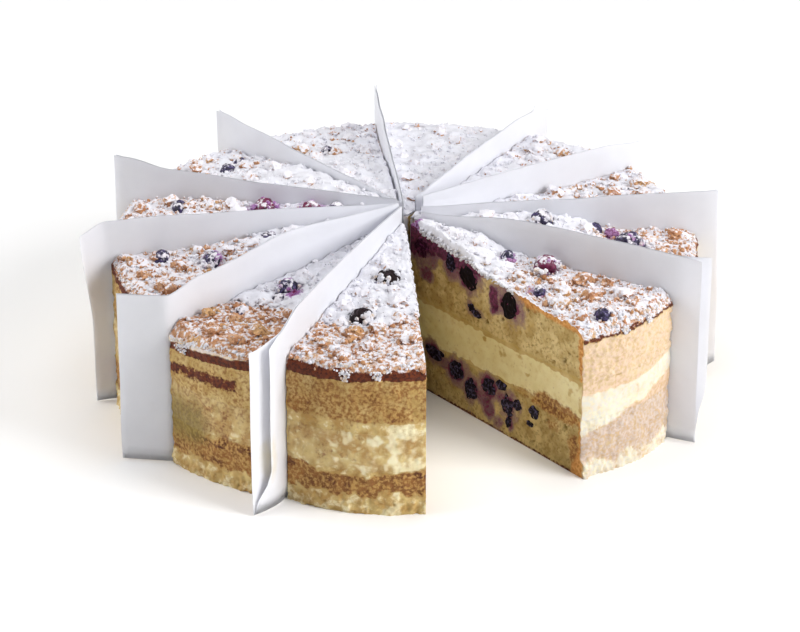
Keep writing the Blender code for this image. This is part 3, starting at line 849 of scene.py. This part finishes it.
def share_across(one, angle, radius):
    right = one.angle(radius, 0.0)
    return (angle - right) / (one.angle(radius, 1.0) - right)


def on_baked_top(one, angle, radius):
    flat = outward(angle) * radius
    height = top_surface(one, flat, radius, share_across(one, angle, radius)) + heaped(one, radius)
    return flat + UP * height


def ball(detail):
    """A unit sphere's points and triangles."""
    shell = bmesh.new()
    bmesh.ops.create_icosphere(shell, subdivisions=detail, radius=1.0)
    shell.verts.ensure_lookup_table()
    points = np.array([vert.co[:] for vert in shell.verts])
    faces = np.array([[vert.index for vert in face.verts] for face in shell.faces])
    shell.free()
    return points, faces


def joined(bodies, faces):
    """Points and faces of many like bodies, given as an array of their points, in one mesh."""
    count, size = bodies.shape[:2]
    return bodies.reshape(-1, 3), (faces[None] + (np.arange(count) * size)[:, None, None]).reshape(-1, 3)


def together(parts):
    """Points and faces of several meshes in one mesh."""
    starts = np.cumsum([0] + [len(points) for points, faces in parts])
    faces = [own + start for (points, own), start in zip(parts, starts)]
    return np.concatenate([points for points, own in parts]), np.concatenate(faces)


# Whole berries in the topping: angle, radius on plan, how proud it stands, and its own radius.
TOP_BERRIES = [
    (-7.2, 51, -1, 5.6),
    (-11.6, 84.5, -1, 5.2),
    (-41.5, 73, -1, 5.4),
    (-69, 87, -1, 4.8),
    (-98.5, 61.5, 0, 5.4),
    (-97, 40.5, 0, 4.8),
    (83, 60, 0.5, 5.2),
    (82.6, 98.5, -0.5, 6.4),
    (56.8, 72.5, 1.8, 5.2),
]


def berry_place(angle, radius, rise):
    """The slice that an angle is in, and a place on it at some rise over the baked top."""
    turned = angle if angle < CUTS[0][0] else angle - 360
    one = next(one for one in slices if one.left < turned < one.right)
    return one, on_baked_top(one, turned, radius) + rise * UP


berry_places = {one.number: [] for one in slices}
for angle, radius, rise, size in TOP_BERRIES:
    one, place = berry_place(angle, radius, rise)
    berry_places[one.number].append((place, size))

coarse_points, coarse_faces = ball(1)
large_points, large_faces = ball(3)
facing_knobs = large_points @ (coarse_points / np.linalg.norm(coarse_points[0])).T
nearest_knobs = np.argsort(-facing_knobs, axis=1)[:, :3]
bodies = []
powder = []
juice = []
for one in slices:
    draw = random.Random(100 + one.number)
    placed = []
    for attempt in range(LUMP_TRIES):
        if len(placed) == LUMPS_EACH:
            break
        tried = attempt / LUMP_TRIES
        size = mix(*LUMP_RADIUS, max(tried, draw.random()))
        reach = size * LUMP_KNOBS[1]
        radius = CAKE_RADIUS * math.sqrt(draw.random())
        angle = mix(one.right, one.left, draw.random())
        if clearance(one, angle, radius) < reach + LUMP_MARGIN:
            continue
        place = on_baked_top(one, angle, radius)
        if any(np.linalg.norm(place - other) < mix(*LUMP_SPACING, tried) for other in placed):
            continue
        if any(np.linalg.norm(place - berry) < reach + own + 1.0 for berry, own in berry_places[one.number]):
            continue
        place = place + UP * size * LUMP_LIFT
        placed.append(place)
        around = draw.uniform(0, math.tau)
        turn = Matrix.Rotation(around, 3, Vector((draw.random(), draw.random(), 1.0)).normalized())
        knobs = np.array([draw.uniform(*LUMP_KNOBS) for point in coarse_points])
        shape = large_points * knobs[nearest_knobs].mean(axis=1)[:, None]
        shape = shape @ np.array(turn).T * size
        crumbly = 1 + bumps(shape + place, 0.5, 2.4, 71) + bumps(shape + place, 0.45, 1.1, 72)
        shape = shape * crumbly[:, None]
        bodies.append(shape * (1, 1, 0.8) + place)
        cover = float(powder_cover(one, place[None], radius)[0]) + 0.08 * heaped(one, radius)
        powder.append(cover + draw.uniform(-0.25, 0.3))
        juice.append(float(juice_above(place)))
points, faces = joined(np.array(bodies), large_faces)
piece("topping_lumps", points, faces.tolist(), topping, "topping",
      powder=np.repeat(powder, len(large_points)), juice=np.repeat(juice, len(large_points)))

# Smaller crumb of the same kind, which fills in between the lumps: how many to a slice, how fine each is
# made, and its least and greatest radius.
SMALL_CRUMBS = ((120, 2, 0.9, 1.7), (280, 1, 0.5, 0.95))
draw = np.random.default_rng(7)


def knobbly(shell, places, size, knobs, squash=None):
    """Bodies from a unit sphere's points, each with knobs and a squash of its own."""
    shapes = shell[None] * draw.uniform(*knobs, (len(size), len(shell), 1))
    if squash:
        shapes = shapes * draw.uniform(*squash, (len(size), 1, 3))
    return shapes * size[:, None, None] + places[:, None, :]


parts = []
powder = []
juice = []
for each, detail, least, greatest in SMALL_CRUMBS:
    shell, shell_faces = ball(detail)
    bodies = []
    for one in slices:
        radius = CAKE_RADIUS * np.sqrt(draw.uniform(0.01, 1.0, each))
        angle = mix(one.right, one.left, draw.uniform(0, 1, each))
        size = mix(least, greatest, draw.uniform(0, 1, each) ** 2)
        share = share_across(one, angle, radius)
        clear = (one.to_cut(radius, share) > 0.6 * size) & (radius < one.rim(share) - 0.7 * size)
        radius, size, angle, share = radius[clear], size[clear], angle[clear], share[clear]
        flat = outward(angle) * radius[:, None]
        raised = topping_height(one, flat, radius, share) + size * 0.3 + heaped(one, radius)
        bodies.append(knobbly(shell, flat + UP * raised[:, None], size, (0.75, 1.2), (0.7, 1.1)))
        cover = powder_cover(one, flat, radius) + 0.04 * heaped(one, radius)
        powder.append(np.repeat(cover + draw.uniform(-0.3, 0.2, len(size)), len(shell)))
        juice.append(np.repeat(juice_above(flat), len(shell)))
    parts.append(joined(np.concatenate(bodies), shell_faces))
points, faces = together(parts)
piece("topping_crumbs", points, faces.tolist(), topping, "topping",
      powder=np.concatenate(powder), juice=np.concatenate(juice))

# The powdered sugar: sifted over the whole cake after baking. It lies as a soft crust up to a millimetre
# thick, whole at the middle and broken up towards the rim, with small clumps where it fell in a heap.


def powder_finish():
    """Icing sugar: white, dead matt, faintly brown where it is thin, and purple where juice soaked in."""
    made, tree, shader, grain, patches = finish_tree("powdered_sugar", (1.2, 3.0), (5.0, 2.0))
    colour = mottle(tree, patches, "#E5E5EC", "#DAD9DF", 0.4, 0.65)
    for mask, spread, low, high, shade in (
        ("thin", 0.9, 0.55, 1.0, "#D3BDA8"),
        ("juice", 1.4, 0.4, 0.85, "#A070A8"),
        ("juice", 1.0, 0.85, 1.1, "#7C2F58"),
    ):
        share = broken(tree, mask, grain, spread, low, high)
        colour = add(tree, "Mix", {0: share, 6: colour, 7: linear(shade)}, 2, data_type="RGBA")
    bump = add(tree, "Bump", {"Height": grain, "Distance": 0.25 * MM, "Strength": 0.7})
    feed(tree, shader, {"Base Color": colour, "Normal": bump, "Roughness": 1.0, "Specular IOR Level": 0.2})
    return made


sugar = powder_finish()

# Points out and across, on a slice that doesn't show well and on one that does.
COAT_GRIDS = ((84, 46), (108, 54))
COAT_THICKNESS = 0.9
THINNEST_SHOWN = -0.25


def sugar_coat(one, flat, radius, across):
    """The coat's height over a slice's top and how thick it lies there, which is below 0 where it is bare."""
    to_rim = one.rim(across) - radius
    to_cut = one.to_cut(radius, across)
    relief = lumps(flat) * smooth((to_rim + 0.6) / 3.0)
    full = fullness(one, flat, radius)
    fluffy = bumps(flat, 1.1, 4.6, 84) + bumps(flat, 0.6, 2.0, 85)
    thick = 3.0 * (powder_cover(one, flat, radius) - 0.56) - 0.12 * relief
    thick = thick + bumps(flat, 1.5, 4.4, 81) + bumps(flat, 1.3, 1.9, 82)
    for berry, own in berry_places[one.number]:
        away = np.linalg.norm(flat - berry * (1, 1, 0), axis=-1) / own
        thick = thick - 3.4 * smooth((0.92 - away + bumps(flat, 0.9, 3.0, 86)) / 0.3)
    thick = thick - 1.0 * smooth(1 - to_cut / 1.0) * (1 - full)
    if one.open:
        thick = thick - 3.0 * smooth((11.0 - radius) / 3.0)
    thick = thick - 4.0 * smooth((1.2 - to_rim + bumps(flat, 1.2, 2.6, 87)) / 0.9)
    height = top_surface(one, flat, radius, across) + relief * (1 - 0.4 * full)
    height = height + np.minimum(thick, COAT_THICKNESS)
    heap = heaped(one, radius) + smooth(heaped(one, radius) / 3) * bumps(flat, 1.0, 5.0, 89)
    at_cut = smooth((to_cut + 0.5 + bumps(flat, 0.8, 2.5, 91)) / 1.6)
    return height + (full * (0.5 + fluffy) + heap) * at_cut, thick


def thicken(sheet, thickness, offset):
    """Gives a sheet its thickness in millimetres: under it at an offset of -1, to both sides at 0."""
    solid = sheet.modifiers.new("thickness", "SOLIDIFY")
    solid.thickness = thickness * MM
    solid.offset = offset


parts = []
thin = []
juice = []
for one in slices:
    flat, radius, across = grid_on_top(one, *COAT_GRIDS[one.shows])
    height, thick = sugar_coat(one, flat, radius, across)
    squares = grid_faces(np.arange(radius.size).reshape(radius.shape))
    shown = (thick.ravel()[squares] > THINNEST_SHOWN).all(axis=1)
    used, renamed = np.unique(squares[shown], return_inverse=True)
    places = flat + UP * height[..., None]
    parts.append((places.reshape(-1, 3)[used], renamed.reshape(-1, 4)))
    thin.append(0.5 - thick.ravel()[used] * 0.9)
    juice.append(juice_above(flat).ravel()[used])
points, faces = together(parts)
coat = piece("powdered_sugar_coat", points, faces.tolist(), sugar, "topping",
             thin=np.concatenate(thin), juice=np.concatenate(juice))
thicken(coat, COAT_THICKNESS, -1.0)

CLUMPS_EACH = 520
clumps = []


def lay_clumps(flat, height, size, knobs=(0.7, 1.25), thinnest=0.0, stained=1.0):
    """Lays clumps at a height over places on plan; each looks thin by some part of thinnest."""
    bodies = knobbly(coarse_points, flat + UP * height[:, None], size, knobs)
    thin = draw.uniform(0.0, thinnest, len(size)) if thinnest else np.zeros(len(size))
    clumps.append((bodies, thin, stained * juice_above(flat)))


for one in slices:
    radius = CAKE_RADIUS * np.sqrt(draw.uniform(0.005, 1.0, CLUMPS_EACH))
    share = draw.uniform(0.015, 0.985, CLUMPS_EACH)
    size = 0.35 + 0.75 * draw.uniform(0, 1, CLUMPS_EACH) ** 3
    radius = np.maximum(radius, TIP_RADIUS + 1)
    flat = one.on_plan(radius, share)
    kept = draw.uniform(0, 1, CLUMPS_EACH) < powder_cover(one, flat, radius) + bumps(flat, 0.6, 5.0, 88)
    kept = kept & (radius < one.rim(share) - 0.8)
    radius, share, size, flat = radius[kept], share[kept], size[kept], flat[kept]
    height = topping_height(one, flat, radius, share) + 0.5 + 0.8 * fullness(one, flat, radius) + size * 0.1
    lay_clumps(flat, height + heaped(one, radius), size, (0.75, 1.2))

# Where it drifted up against the whole berries, more on one side of each than on the other.
DRIFT_EACH = 46
for one in slices:
    for berry, own in berry_places[one.number]:
        around = outward(draw.uniform(0, 360, DRIFT_EACH))
        away = 0.92 + bumps(around * own + berry, 0.7, 4.0, 92) + draw.uniform(-0.1, 0.25, DRIFT_EACH)
        flat = berry * (1, 1, 0) + own * away[:, None] * around
        flank = 0.8 + 0.86 * own * np.sqrt(np.maximum(0, 1 - away ** 2))
        size = draw.uniform(0.5, 1.3, DRIFT_EACH)
        lay_clumps(flat, berry[2] + np.maximum(flank, 1.2), size, thinnest=0.9)

# Where it caught along the top edge, as a ragged fringe over the dark band, mixed with pale crumb.
FRINGE_EACH = 150
FRINGE_TOP = 4.2
for one in slices:
    share = draw.uniform(0.01, 0.99, FRINGE_EACH)
    up = 0.2 + 2.3 * np.sqrt(draw.uniform(0, 1, FRINGE_EACH)) - between(one.outside[6], share)
    wave = bumps(np.stack([share * 60, 0 * share, 0 * share], axis=-1), 1.0, 4.0, one.number)
    up = up + 0.8 * wave
    kept = up < FRINGE_TOP
    share, up, wave = share[kept], up[kept], wave[kept]
    over = (1 - np.maximum(up, 0) / SHOULDER_RISE) ** (1 / SHOULDER_POWER)
    rim = one.rim(share)
    flat = outward(one.angle(rim, share)) * (rim - SHOULDER_WIDTH * (1 - over) + 0.1)[:, None]
    size = (0.4 + 0.6 * draw.uniform(0, 1, len(up)) ** 2) * (0.4 + 0.6 * smooth(0.8 + 2 * wave))
    lay_clumps(flat, one.crust(rim, share) + up, size, thinnest=1.4, stained=0.0)

# Where some of it fell down the side, over the crust: slice, share across, how wide and how far down.
FALLEN_EACH = 44
by_letter = {one.letter: one for one in slices}
for letter, at, wide, down in (
    ("a", 0.55, 0.022, 4.6),
    ("a", 0.33, 0.03, 3.6),
    ("b", 0.86, 0.06, 4.6),
    ("k", 0.62, 0.03, 3.6),
    ("k", 0.35, 0.03, 3.0),
):
    one = by_letter[letter]
    fallen = draw.uniform(0, 1, FALLEN_EACH) ** 1.5
    share = at + wide * draw.normal(0, 1, FALLEN_EACH) * (1 - 0.7 * fallen)
    size = 0.35 + 0.35 * draw.uniform(0, 1, FALLEN_EACH)
    rim = one.rim(share)
    flat = outward(one.angle(rim, share)) * (rim + 0.2)[:, None]
    height = one.crust(rim, share) + 1.0 - between(one.outside[6], share) - down * fallen
    lay_clumps(flat, height, size, thinnest=1.0, stained=0.0)

# And where it hangs over the edges of the two open cuts: slice, share across, from and to what radius.
HANGING_EACH = 150
for letter, at, inner, outer in (("k", 1.0, 12.0, 74.0), ("a", 0.0, 8.0, 80.0)):
    one = by_letter[letter]
    radius = mix(inner, outer, draw.uniform(0, 1, HANGING_EACH))
    share = np.full(HANGING_EACH, at)
    flat = one.on_plan(radius, share)
    down = draw.uniform(-0.6, 1.6, HANGING_EACH)
    down = down - 0.5 * heaped(one, radius) * draw.uniform(0, 1, HANGING_EACH)
    size = 0.4 + 0.6 * draw.uniform(0, 1, HANGING_EACH)
    lay_clumps(flat, top_surface(one, flat, radius, share) + 0.6 - down, size)
bodies, thin, juice = [np.concatenate(values) for values in zip(*clumps)]
points, faces = joined(bodies, coarse_faces)
piece("powdered_sugar_clumps", points, faces.tolist(), sugar, "topping",
      thin=np.repeat(thin, len(coarse_points)), juice=np.repeat(juice, len(coarse_points)))

# The whole berries: blueberries that sank into the topping as it baked. Their skins are dark blue to
# black, wrinkled and split, with juice round them and sugar caught on top.


def berry_finish(name, skin, bloom_and_glint, bloom_and_glint_from, dusted, shine):
    """Berry skin and cut pulp: nearly black, with a second colour in patches, a waxy bloom on skins and
    painted wet highlights and juice on cut pulps, and a low shine where it is wet.
    """
    made, tree, shader, patches, grain = finish_tree(name, (5.0, 3.0), (1.3, 2.0))
    facing = add(tree, "SeparateXYZ", {0: add(tree, "NewGeometry", {}, "Normal")}, "Z")
    colour = mottle(tree, grain, skin, bloom_and_glint, bloom_and_glint_from, bloom_and_glint_from + 0.16)
    mixed = add(tree, "Math", {0: grain, 1: 0.6, 2: patches}, operation="MULTIPLY_ADD")
    raised = add(tree, "Math", {0: facing, 1: 0.2, 2: mixed}, operation="MULTIPLY_ADD")
    feeds = {"Value": raised, "From Min": 1.25 - dusted, "From Max": 1.4 - dusted}
    share = add(tree, "MapRange", feeds, interpolation_type="SMOOTHSTEP")
    colour = add(tree, "Mix", {0: share, 6: colour, 7: linear("#E6E2E8")}, 2, data_type="RGBA")
    bump = add(tree, "Bump", {"Height": grain, "Distance": 0.2 * MM, "Strength": 0.6})
    feed(tree, shader, {"Base Color": colour, "Normal": bump, "Roughness": 0.5, "Specular IOR Level": shine})
    return made


dark_berry = berry_finish("dark_berry_skin", "#1C1013", "#3C2A30", 0.5, 0.2, 0.15)
blue_berry = berry_finish("blue_berry_skin", "#1D1730", "#4A3F6E", 0.44, 0.33, 0.4)
burst_berry = berry_finish("burst_berry_skin", "#6E1A44", "#2A0D22", 0.5, 0.3, 0.4)
TOP_SKINS = 2 * [dark_berry] + 2 * [blue_berry] + 2 * [burst_berry] + 2 * [blue_berry] + [burst_berry]
BERRY_SHAPE = np.array((1.0, 0.97, 0.86))
BERRY_LIFT = 0.8
round_points, round_faces = ball(4)


def berry(shell, place, size, turn, seed):
    """A wrinkled berry's points, from a unit sphere's, with the crown's dent at its top end."""
    crown = np.maximum(0, shell[:, 2]) ** 6
    wrinkle = bumps(shell, 0.16, 0.45, seed) + bumps(shell, 0.08, 0.2, seed + 1)
    points = shell * (1 + wrinkle - 0.22 * crown)[:, None]
    return (points * size * BERRY_SHAPE) @ np.array(turn).T + place


for count, (angle, radius, rise, size) in enumerate(TOP_BERRIES, 1):
    one, place = berry_place(angle, radius, rise + BERRY_LIFT)
    turn = Matrix.Rotation(0.35 * count, 3, "Z") @ Matrix.Rotation(0.25 + 0.4 * count, 3, "X")
    points = berry(round_points, place, size, turn, count)
    piece(f"whole_berry_{count}", points, round_faces.tolist(), TOP_SKINS[count - 1], "berry",
          f"berry_top_{count:02d}")

# The sunk berries: smaller blueberries that went down into the topping as it baked, so that each shows
# only as a dark spot under crumb and sugar. Angle, radius, how proud it stands, and its own radius.

SUNK_BERRIES = [
    (-9.5, 54, -1.5, 4),
    (-40, 81, -1, 4),
    (-43.5, 97, -2, 4.2),
    (-76.5, 107, -1.5, 4.4),
    (-100, 99, -1.5, 4.6),
    (-97, 30, 0, 4),
    (-127, 99, -1.5, 4.4),
    (-134, 106, -1.5, 4),
    (-159, 97, -2, 4.2),
    (130, 66, -1, 4.4),
    (88, 83, -1.5, 4),
    (-75, 60, -0.8, 3.4),
    (55, 54, 0, 3.8),
    (45.5, 115, 0, 3.6),
    (43.5, 82, -0.5, 3.4),
]
bodies = []
for count, (angle, radius, rise, size) in enumerate(SUNK_BERRIES):
    one, place = berry_place(angle, radius, rise + BERRY_LIFT)
    turn = Matrix.Rotation(1.7 * count, 3, "Y")
    bodies.append(berry(large_points, place, size, turn, count + 30))
points, faces = joined(np.array(bodies), large_faces)
piece("sunk_berries", points, faces.tolist(), blue_berry, "berry")

# The cut berries: what the knife went through in the open slice's face. Their pulp is almost black and wet,
# flecked with painted wet highlights, and lies flush with the sponge.

SMALL_CUT_BERRIES = [
    (46.8, 51.6, 2.2, 1.8),
    (50.6, 49.8, 3.2, 1.7),
    (32.5, 67.4, 3, 4),
    (67.5, 22.6, 3.4, 2.6),
    (78.4, 17.6, 2.6, 2.8),
    (88.8, 18.6, 3.2, 3.2),
    (86.3, 12, 2.2, 1.6),
    (72.5, 6.9, 2, 2.5),
]
# The second colours: grey blue specks that are painted wet highlights on the dark pulps, and magenta juice on
# the burst one.
cut_berry = berry_finish("cut_berry_pulp", "#150C1B", "#565070", 0.5, 0.0, 0.1)
dark_cut = berry_finish("dark_berry_pulp", "#0F0912", "#2C2636", 0.58, 0.0, 0.1)
burst_cut = berry_finish("burst_berry_pulp", "#340E28", "#70325A", 0.5, 0.0, 0.1)
CUT_PULPS = [burst_cut, dark_cut, dark_cut] + 5 * [cut_berry]


def cut_body(shell, one, radius, height, half_width, half_height, seed):
    """A berry's body behind an open cut face, with its cut side nearly flat."""
    room = radius * math.sin(math.radians(one.right - one.left)) - PAPER_CUT - 1.0
    depth = min((half_width + half_height) / 2, room / 1.3)
    uneven = 1 + bumps(shell * (1, 1, 0.3), 0.45, 0.7, seed)
    x = shell[:, 0] * half_width * uneven
    z = shell[:, 1] * half_height * uneven
    y = 0.15 * depth + shell[:, 2] * depth
    domed = -0.25 - 0.35 * (1 - np.hypot(shell[:, 0], shell[:, 1])) + bumps(shell, 0.5, 0.3, seed)
    y = np.maximum(y, domed)
    along = outward(one.face_angle)
    return along * (radius + x)[:, None] + one.inwards * y[:, None] + UP * (height + z)[:, None]


for count, shape in enumerate(CUT_BERRIES, 1):
    points = cut_body(round_points, slices[-1], *shape, count)
    piece(f"cut_berry_{count}", points, round_faces.tolist(), CUT_PULPS[count - 1], "berry",
          f"berry_face_{count:02d}")
bodies = []
for one, berries, seed in ((slices[-1], SMALL_CUT_BERRIES, 50), (slices[0], OTHER_CUT_BERRIES, 70)):
    bodies += [cut_body(large_points, one, *shape, count) for count, shape in enumerate(berries, seed)]
points, faces = joined(np.array(bodies), large_faces)
piece("small_cut_berries", points, faces.tolist(), cut_berry, "berry")

# The dividers: one sheet of white greaseproof paper in each cut, folded at its foot, so that two plies
# stand between the slices. They part a little towards the top and curl where they leave the cake.

PLY = 0.3
SHEET = 0.2
PAPER_FOOT = 0.5
DIVIDER_MIDDLE = 60.0
DIVIDER_SHOULDER = 108.0
# Where the sheet starts and where it may bend, its outer radius (right ply, fold, left ply), its top
# edge's height (start, the two radii above, bend, end), how far its end sways towards the next cut
# (right ply, fold, left ply), the shares of its height over which the plies part, and the foot's lift.
DIVIDERS = [
    (3, 124.8, (135, 140.5, 139.5), (84, 84.4, 82.5, 77, 73.5), (0, 5.6, 6.2), (0, 0.25), 0),
    (3, 126, (140.7, 140.7, 140.2), (85, 88.5, 82, 77.4, 77.2), (15.4, 15.6, 15.9), (0.1, 0.5), 0),
    (3, 128.6, (141, 136.6, 140.4), (84.3, 85.6, 86, 85.4, 83), (-8.6, -1.2, -8), (0.4, 1), 0),
    (3, 128.6, (134, 134, 133.4), (85.5, 86, 87.6, 91, 91), (1.2, 0, 1.8), (0.3, 1), 0),
    (3, 128.6, (132.4, 132.6, 132.6), (84, 85, 86.4, 87.2, 87.4), (-0.6, 0, 0.8), (0.3, 1), 0),
    (3, 128.6, (130.4, 130.5, 130.5), (84, 85.6, 87.2, 88.5, 88.5), (0.2, 0, 0.6), (0.3, 1), 0),
    (11, 128.6, (140, 138, 137.4), (83, 84, 83.5, 82, 80), (-4.4, 0, 3.8), (0.4, 1), 0),
    (10, 128.6, (132.6, 132.4, 132.8), (85.4, 86, 85.6, 83.5, 82), (-1.2, 0, -0.8), (0.4, 1), 0),
    (7.6, 129.6, (136.4, 138.6, 136.8), (82.4, 85, 87.4, 88.4, 88.6), (-1.2, 0, -0.4), (0.3, 1), 5.5),
    (9, 128.6, (141.4, 139.6, 139.6), (81.8, 87.4, 87, 86.2, 85.8), (-5.4, -0.4, 0.4), (0.1, 0.3), 0),
]
PAPER_ROWS = 13
PAPER_COLUMNS = 40
# Which share of a sheet's columns stands before its bend, and which past it, and over what sway its
# end leans straight instead of curling.
BEFORE_BEND = 0.78
PAST_BEND = 0.22
WIDE_SWAY = 10


def paper_finish():
    """Greaseproof paper: bluish white, close and faintly mottled, half matt, and translucent, with a warm
    painted shade low on its flaps.
    """
    made, tree, shader, fibre = finish_tree("greaseproof_paper", (9.0, 5.0))
    feeds = {0: fibre, 6: linear("#F1F2F9"), 7: linear("#E9EAF2")}
    colour = add(tree, "Mix", feeds, 2, data_type="RGBA")
    # The warm painted shade low on the flaps.
    grease = broken(tree, "grease", fibre, 0.6, 0.2, 0.8)
    colour = add(tree, "Mix", {0: grease, 6: colour, 7: linear("#E3D9BE")}, 2, data_type="RGBA")
    feeds = {"Base Color": colour, "Roughness": 0.55, "Subsurface Weight": 0.5}
    feed(tree, shader, {**feeds, "Subsurface Radius": (1.0, 1.0, 1.0), "Subsurface Scale": 0.6 * MM})
    return made


paper = paper_finish()


def height_between(marks, heights, radius):
    """The height at a radius along a line through the heights at some marks, flat at each mark."""
    result = np.full(radius.shape, float(heights[-1]))
    for mark, further, height, after in list(zip(marks, marks[1:], heights, heights[1:]))[::-1]:
        share = smooth((radius - mark) / (further - mark))
        result = np.where(radius <= further, mix(height, after, share), result)
    return result


# The same for every sheet: shares along it, the share up from its fold at each row, and the row's ply.
station = np.linspace(0, 1, PAPER_COLUMNS + 1)
up = np.concatenate([np.linspace(1, 0, PAPER_ROWS)[:-1], [0.0], np.linspace(0, 1, PAPER_ROWS)[1:]])
ply = np.repeat((0, 1, 2), (PAPER_ROWS - 1, 1, PAPER_ROWS - 1))
side = np.sign(ply - 1.0) * PLY

for number, (inner, bend, outer, tops, sways, parting, lift) in enumerate(DIVIDERS):
    angle = CUTS[number + 1][0]
    marks = (inner, DIVIDER_MIDDLE, DIVIDER_SHOULDER, bend, max(outer))
    start = np.minimum(mix(inner, bend, station / BEFORE_BEND), bend)[:, None]
    share = np.clip((station - BEFORE_BEND) / PAST_BEND, 0, 1)[:, None]
    free = smooth((up - parting[0]) / (parting[1] - parting[0]))
    radius = mix(start, mix(outer[1], np.array(outer)[ply], free), share)
    sway = mix(sways[1], np.array(sways)[ply], free) * share ** (1.0 if abs(sways[1]) > WIDE_SWAY else 1.5)
    foot = PAPER_FOOT + PLY / 2 + lift * share + np.abs(side)
    height = mix(foot, height_between(marks, tops, radius), up)
    places = outward(angle) * radius[..., None] + UP * height[..., None]
    loose = smooth((height - 74) / 8) * 0.6 + smooth((radius - bend) / 6) * 0.5
    wave = bumps(places * (1, 1, 0.6), 1.0, 16.0, number + 90) * loose
    places = places - sideways(angle) * (side + sway + wave)[..., None]
    faces = grid_faces(np.arange(radius.size).reshape(radius.shape)).tolist()
    # A warm painted shade low on each sheet's flap past the rim, strongest on the first sheet.
    low_shade = near(radius, 133.0, 7.0) * near(height, 24.0, 26.0) * (0.55 if number == 0 else 0.2)
    sheet = piece(f"greaseproof_divider_{number + 1}", places, faces, paper, "divider",
                  f"divider_{number + 1:02d}", grease=low_shade)
    thicken(sheet, SHEET, 0.0)
    sheet.modifiers.new("flat_to_the_edge", "WEIGHTED_NORMAL").weight = 100

# The floor, the lights and the camera: a white studio sweep under soft daylight from the right, seen
# through a long lens from a little over a metre away.

# Half the sweep's width in metres, and the camera's distance from the cake's foot and its angles.
SWEEP = 4.0
CAMERA_DISTANCE = 1337.53
CAMERA_HEIGHT_ANGLE = 26.832
CAMERA_PITCH = 25.677
CAMERA_YAW = -0.0748

floor_mesh = bpy.data.meshes.new("floor")
ground = [(x * SWEEP, y * SWEEP, 0) for x, y in ((-1, -1), (1, -1), (1, 1), (-1, 1))]
floor_mesh.from_pydata(ground, [], [(0, 1, 2, 3)])
floor = bpy.data.objects.new("floor", floor_mesh)
bpy.context.scene.collection.objects.link(floor)
made, tree, shader = finish_tree("white_sweep")
feed(tree, shader, {"Base Color": linear("#FDFDFD"), "Roughness": 0.9})
floor_mesh.materials.append(made)

world = bpy.data.worlds.new("daylight")
world.use_nodes = True
background = world.node_tree.nodes["Background"]
background.inputs["Color"].default_value = linear("#F8FAFF")
background.inputs["Strength"].default_value = 0.05
bpy.context.scene.world = world

# Soft boxes: name, place in metres, size in metres, watts.
for name, place, size, watts in (
    ("key", (1.55, -0.75, 0.95), 1.0, 34.0),
    ("overhead", (0.0, 0.15, 1.8), 1.8, 23.0),
    ("fill", (-1.8, 0.0, 0.9), 1.4, 24.0),
):
    light = bpy.data.lights.new(name, "AREA")
    light.size = size
    light.energy = watts
    lamp = bpy.data.objects.new(name, light)
    lamp.location = place
    lamp.rotation_mode = "QUATERNION"
    lamp.rotation_quaternion = (-Vector(place)).to_track_quat("-Z", "Y")
    bpy.context.scene.collection.objects.link(lamp)

lens = bpy.data.cameras.new("camera")
lens.lens = 135.0
lens.sensor_width = 36.0
lens.clip_start = 0.05
camera = bpy.data.objects.new("camera", lens)
tilt = math.radians(CAMERA_HEIGHT_ANGLE)
stand = AXIS + CAMERA_DISTANCE * np.array((0.0, -math.cos(tilt), math.sin(tilt)))
camera.location = stand * MM
camera.rotation_euler = (math.radians(90 - CAMERA_PITCH), 0.0, math.radians(-CAMERA_YAW))
bpy.context.scene.collection.objects.link(camera)
bpy.context.scene.camera = camera
bpy.context.scene.view_settings.view_transform = "Standard"
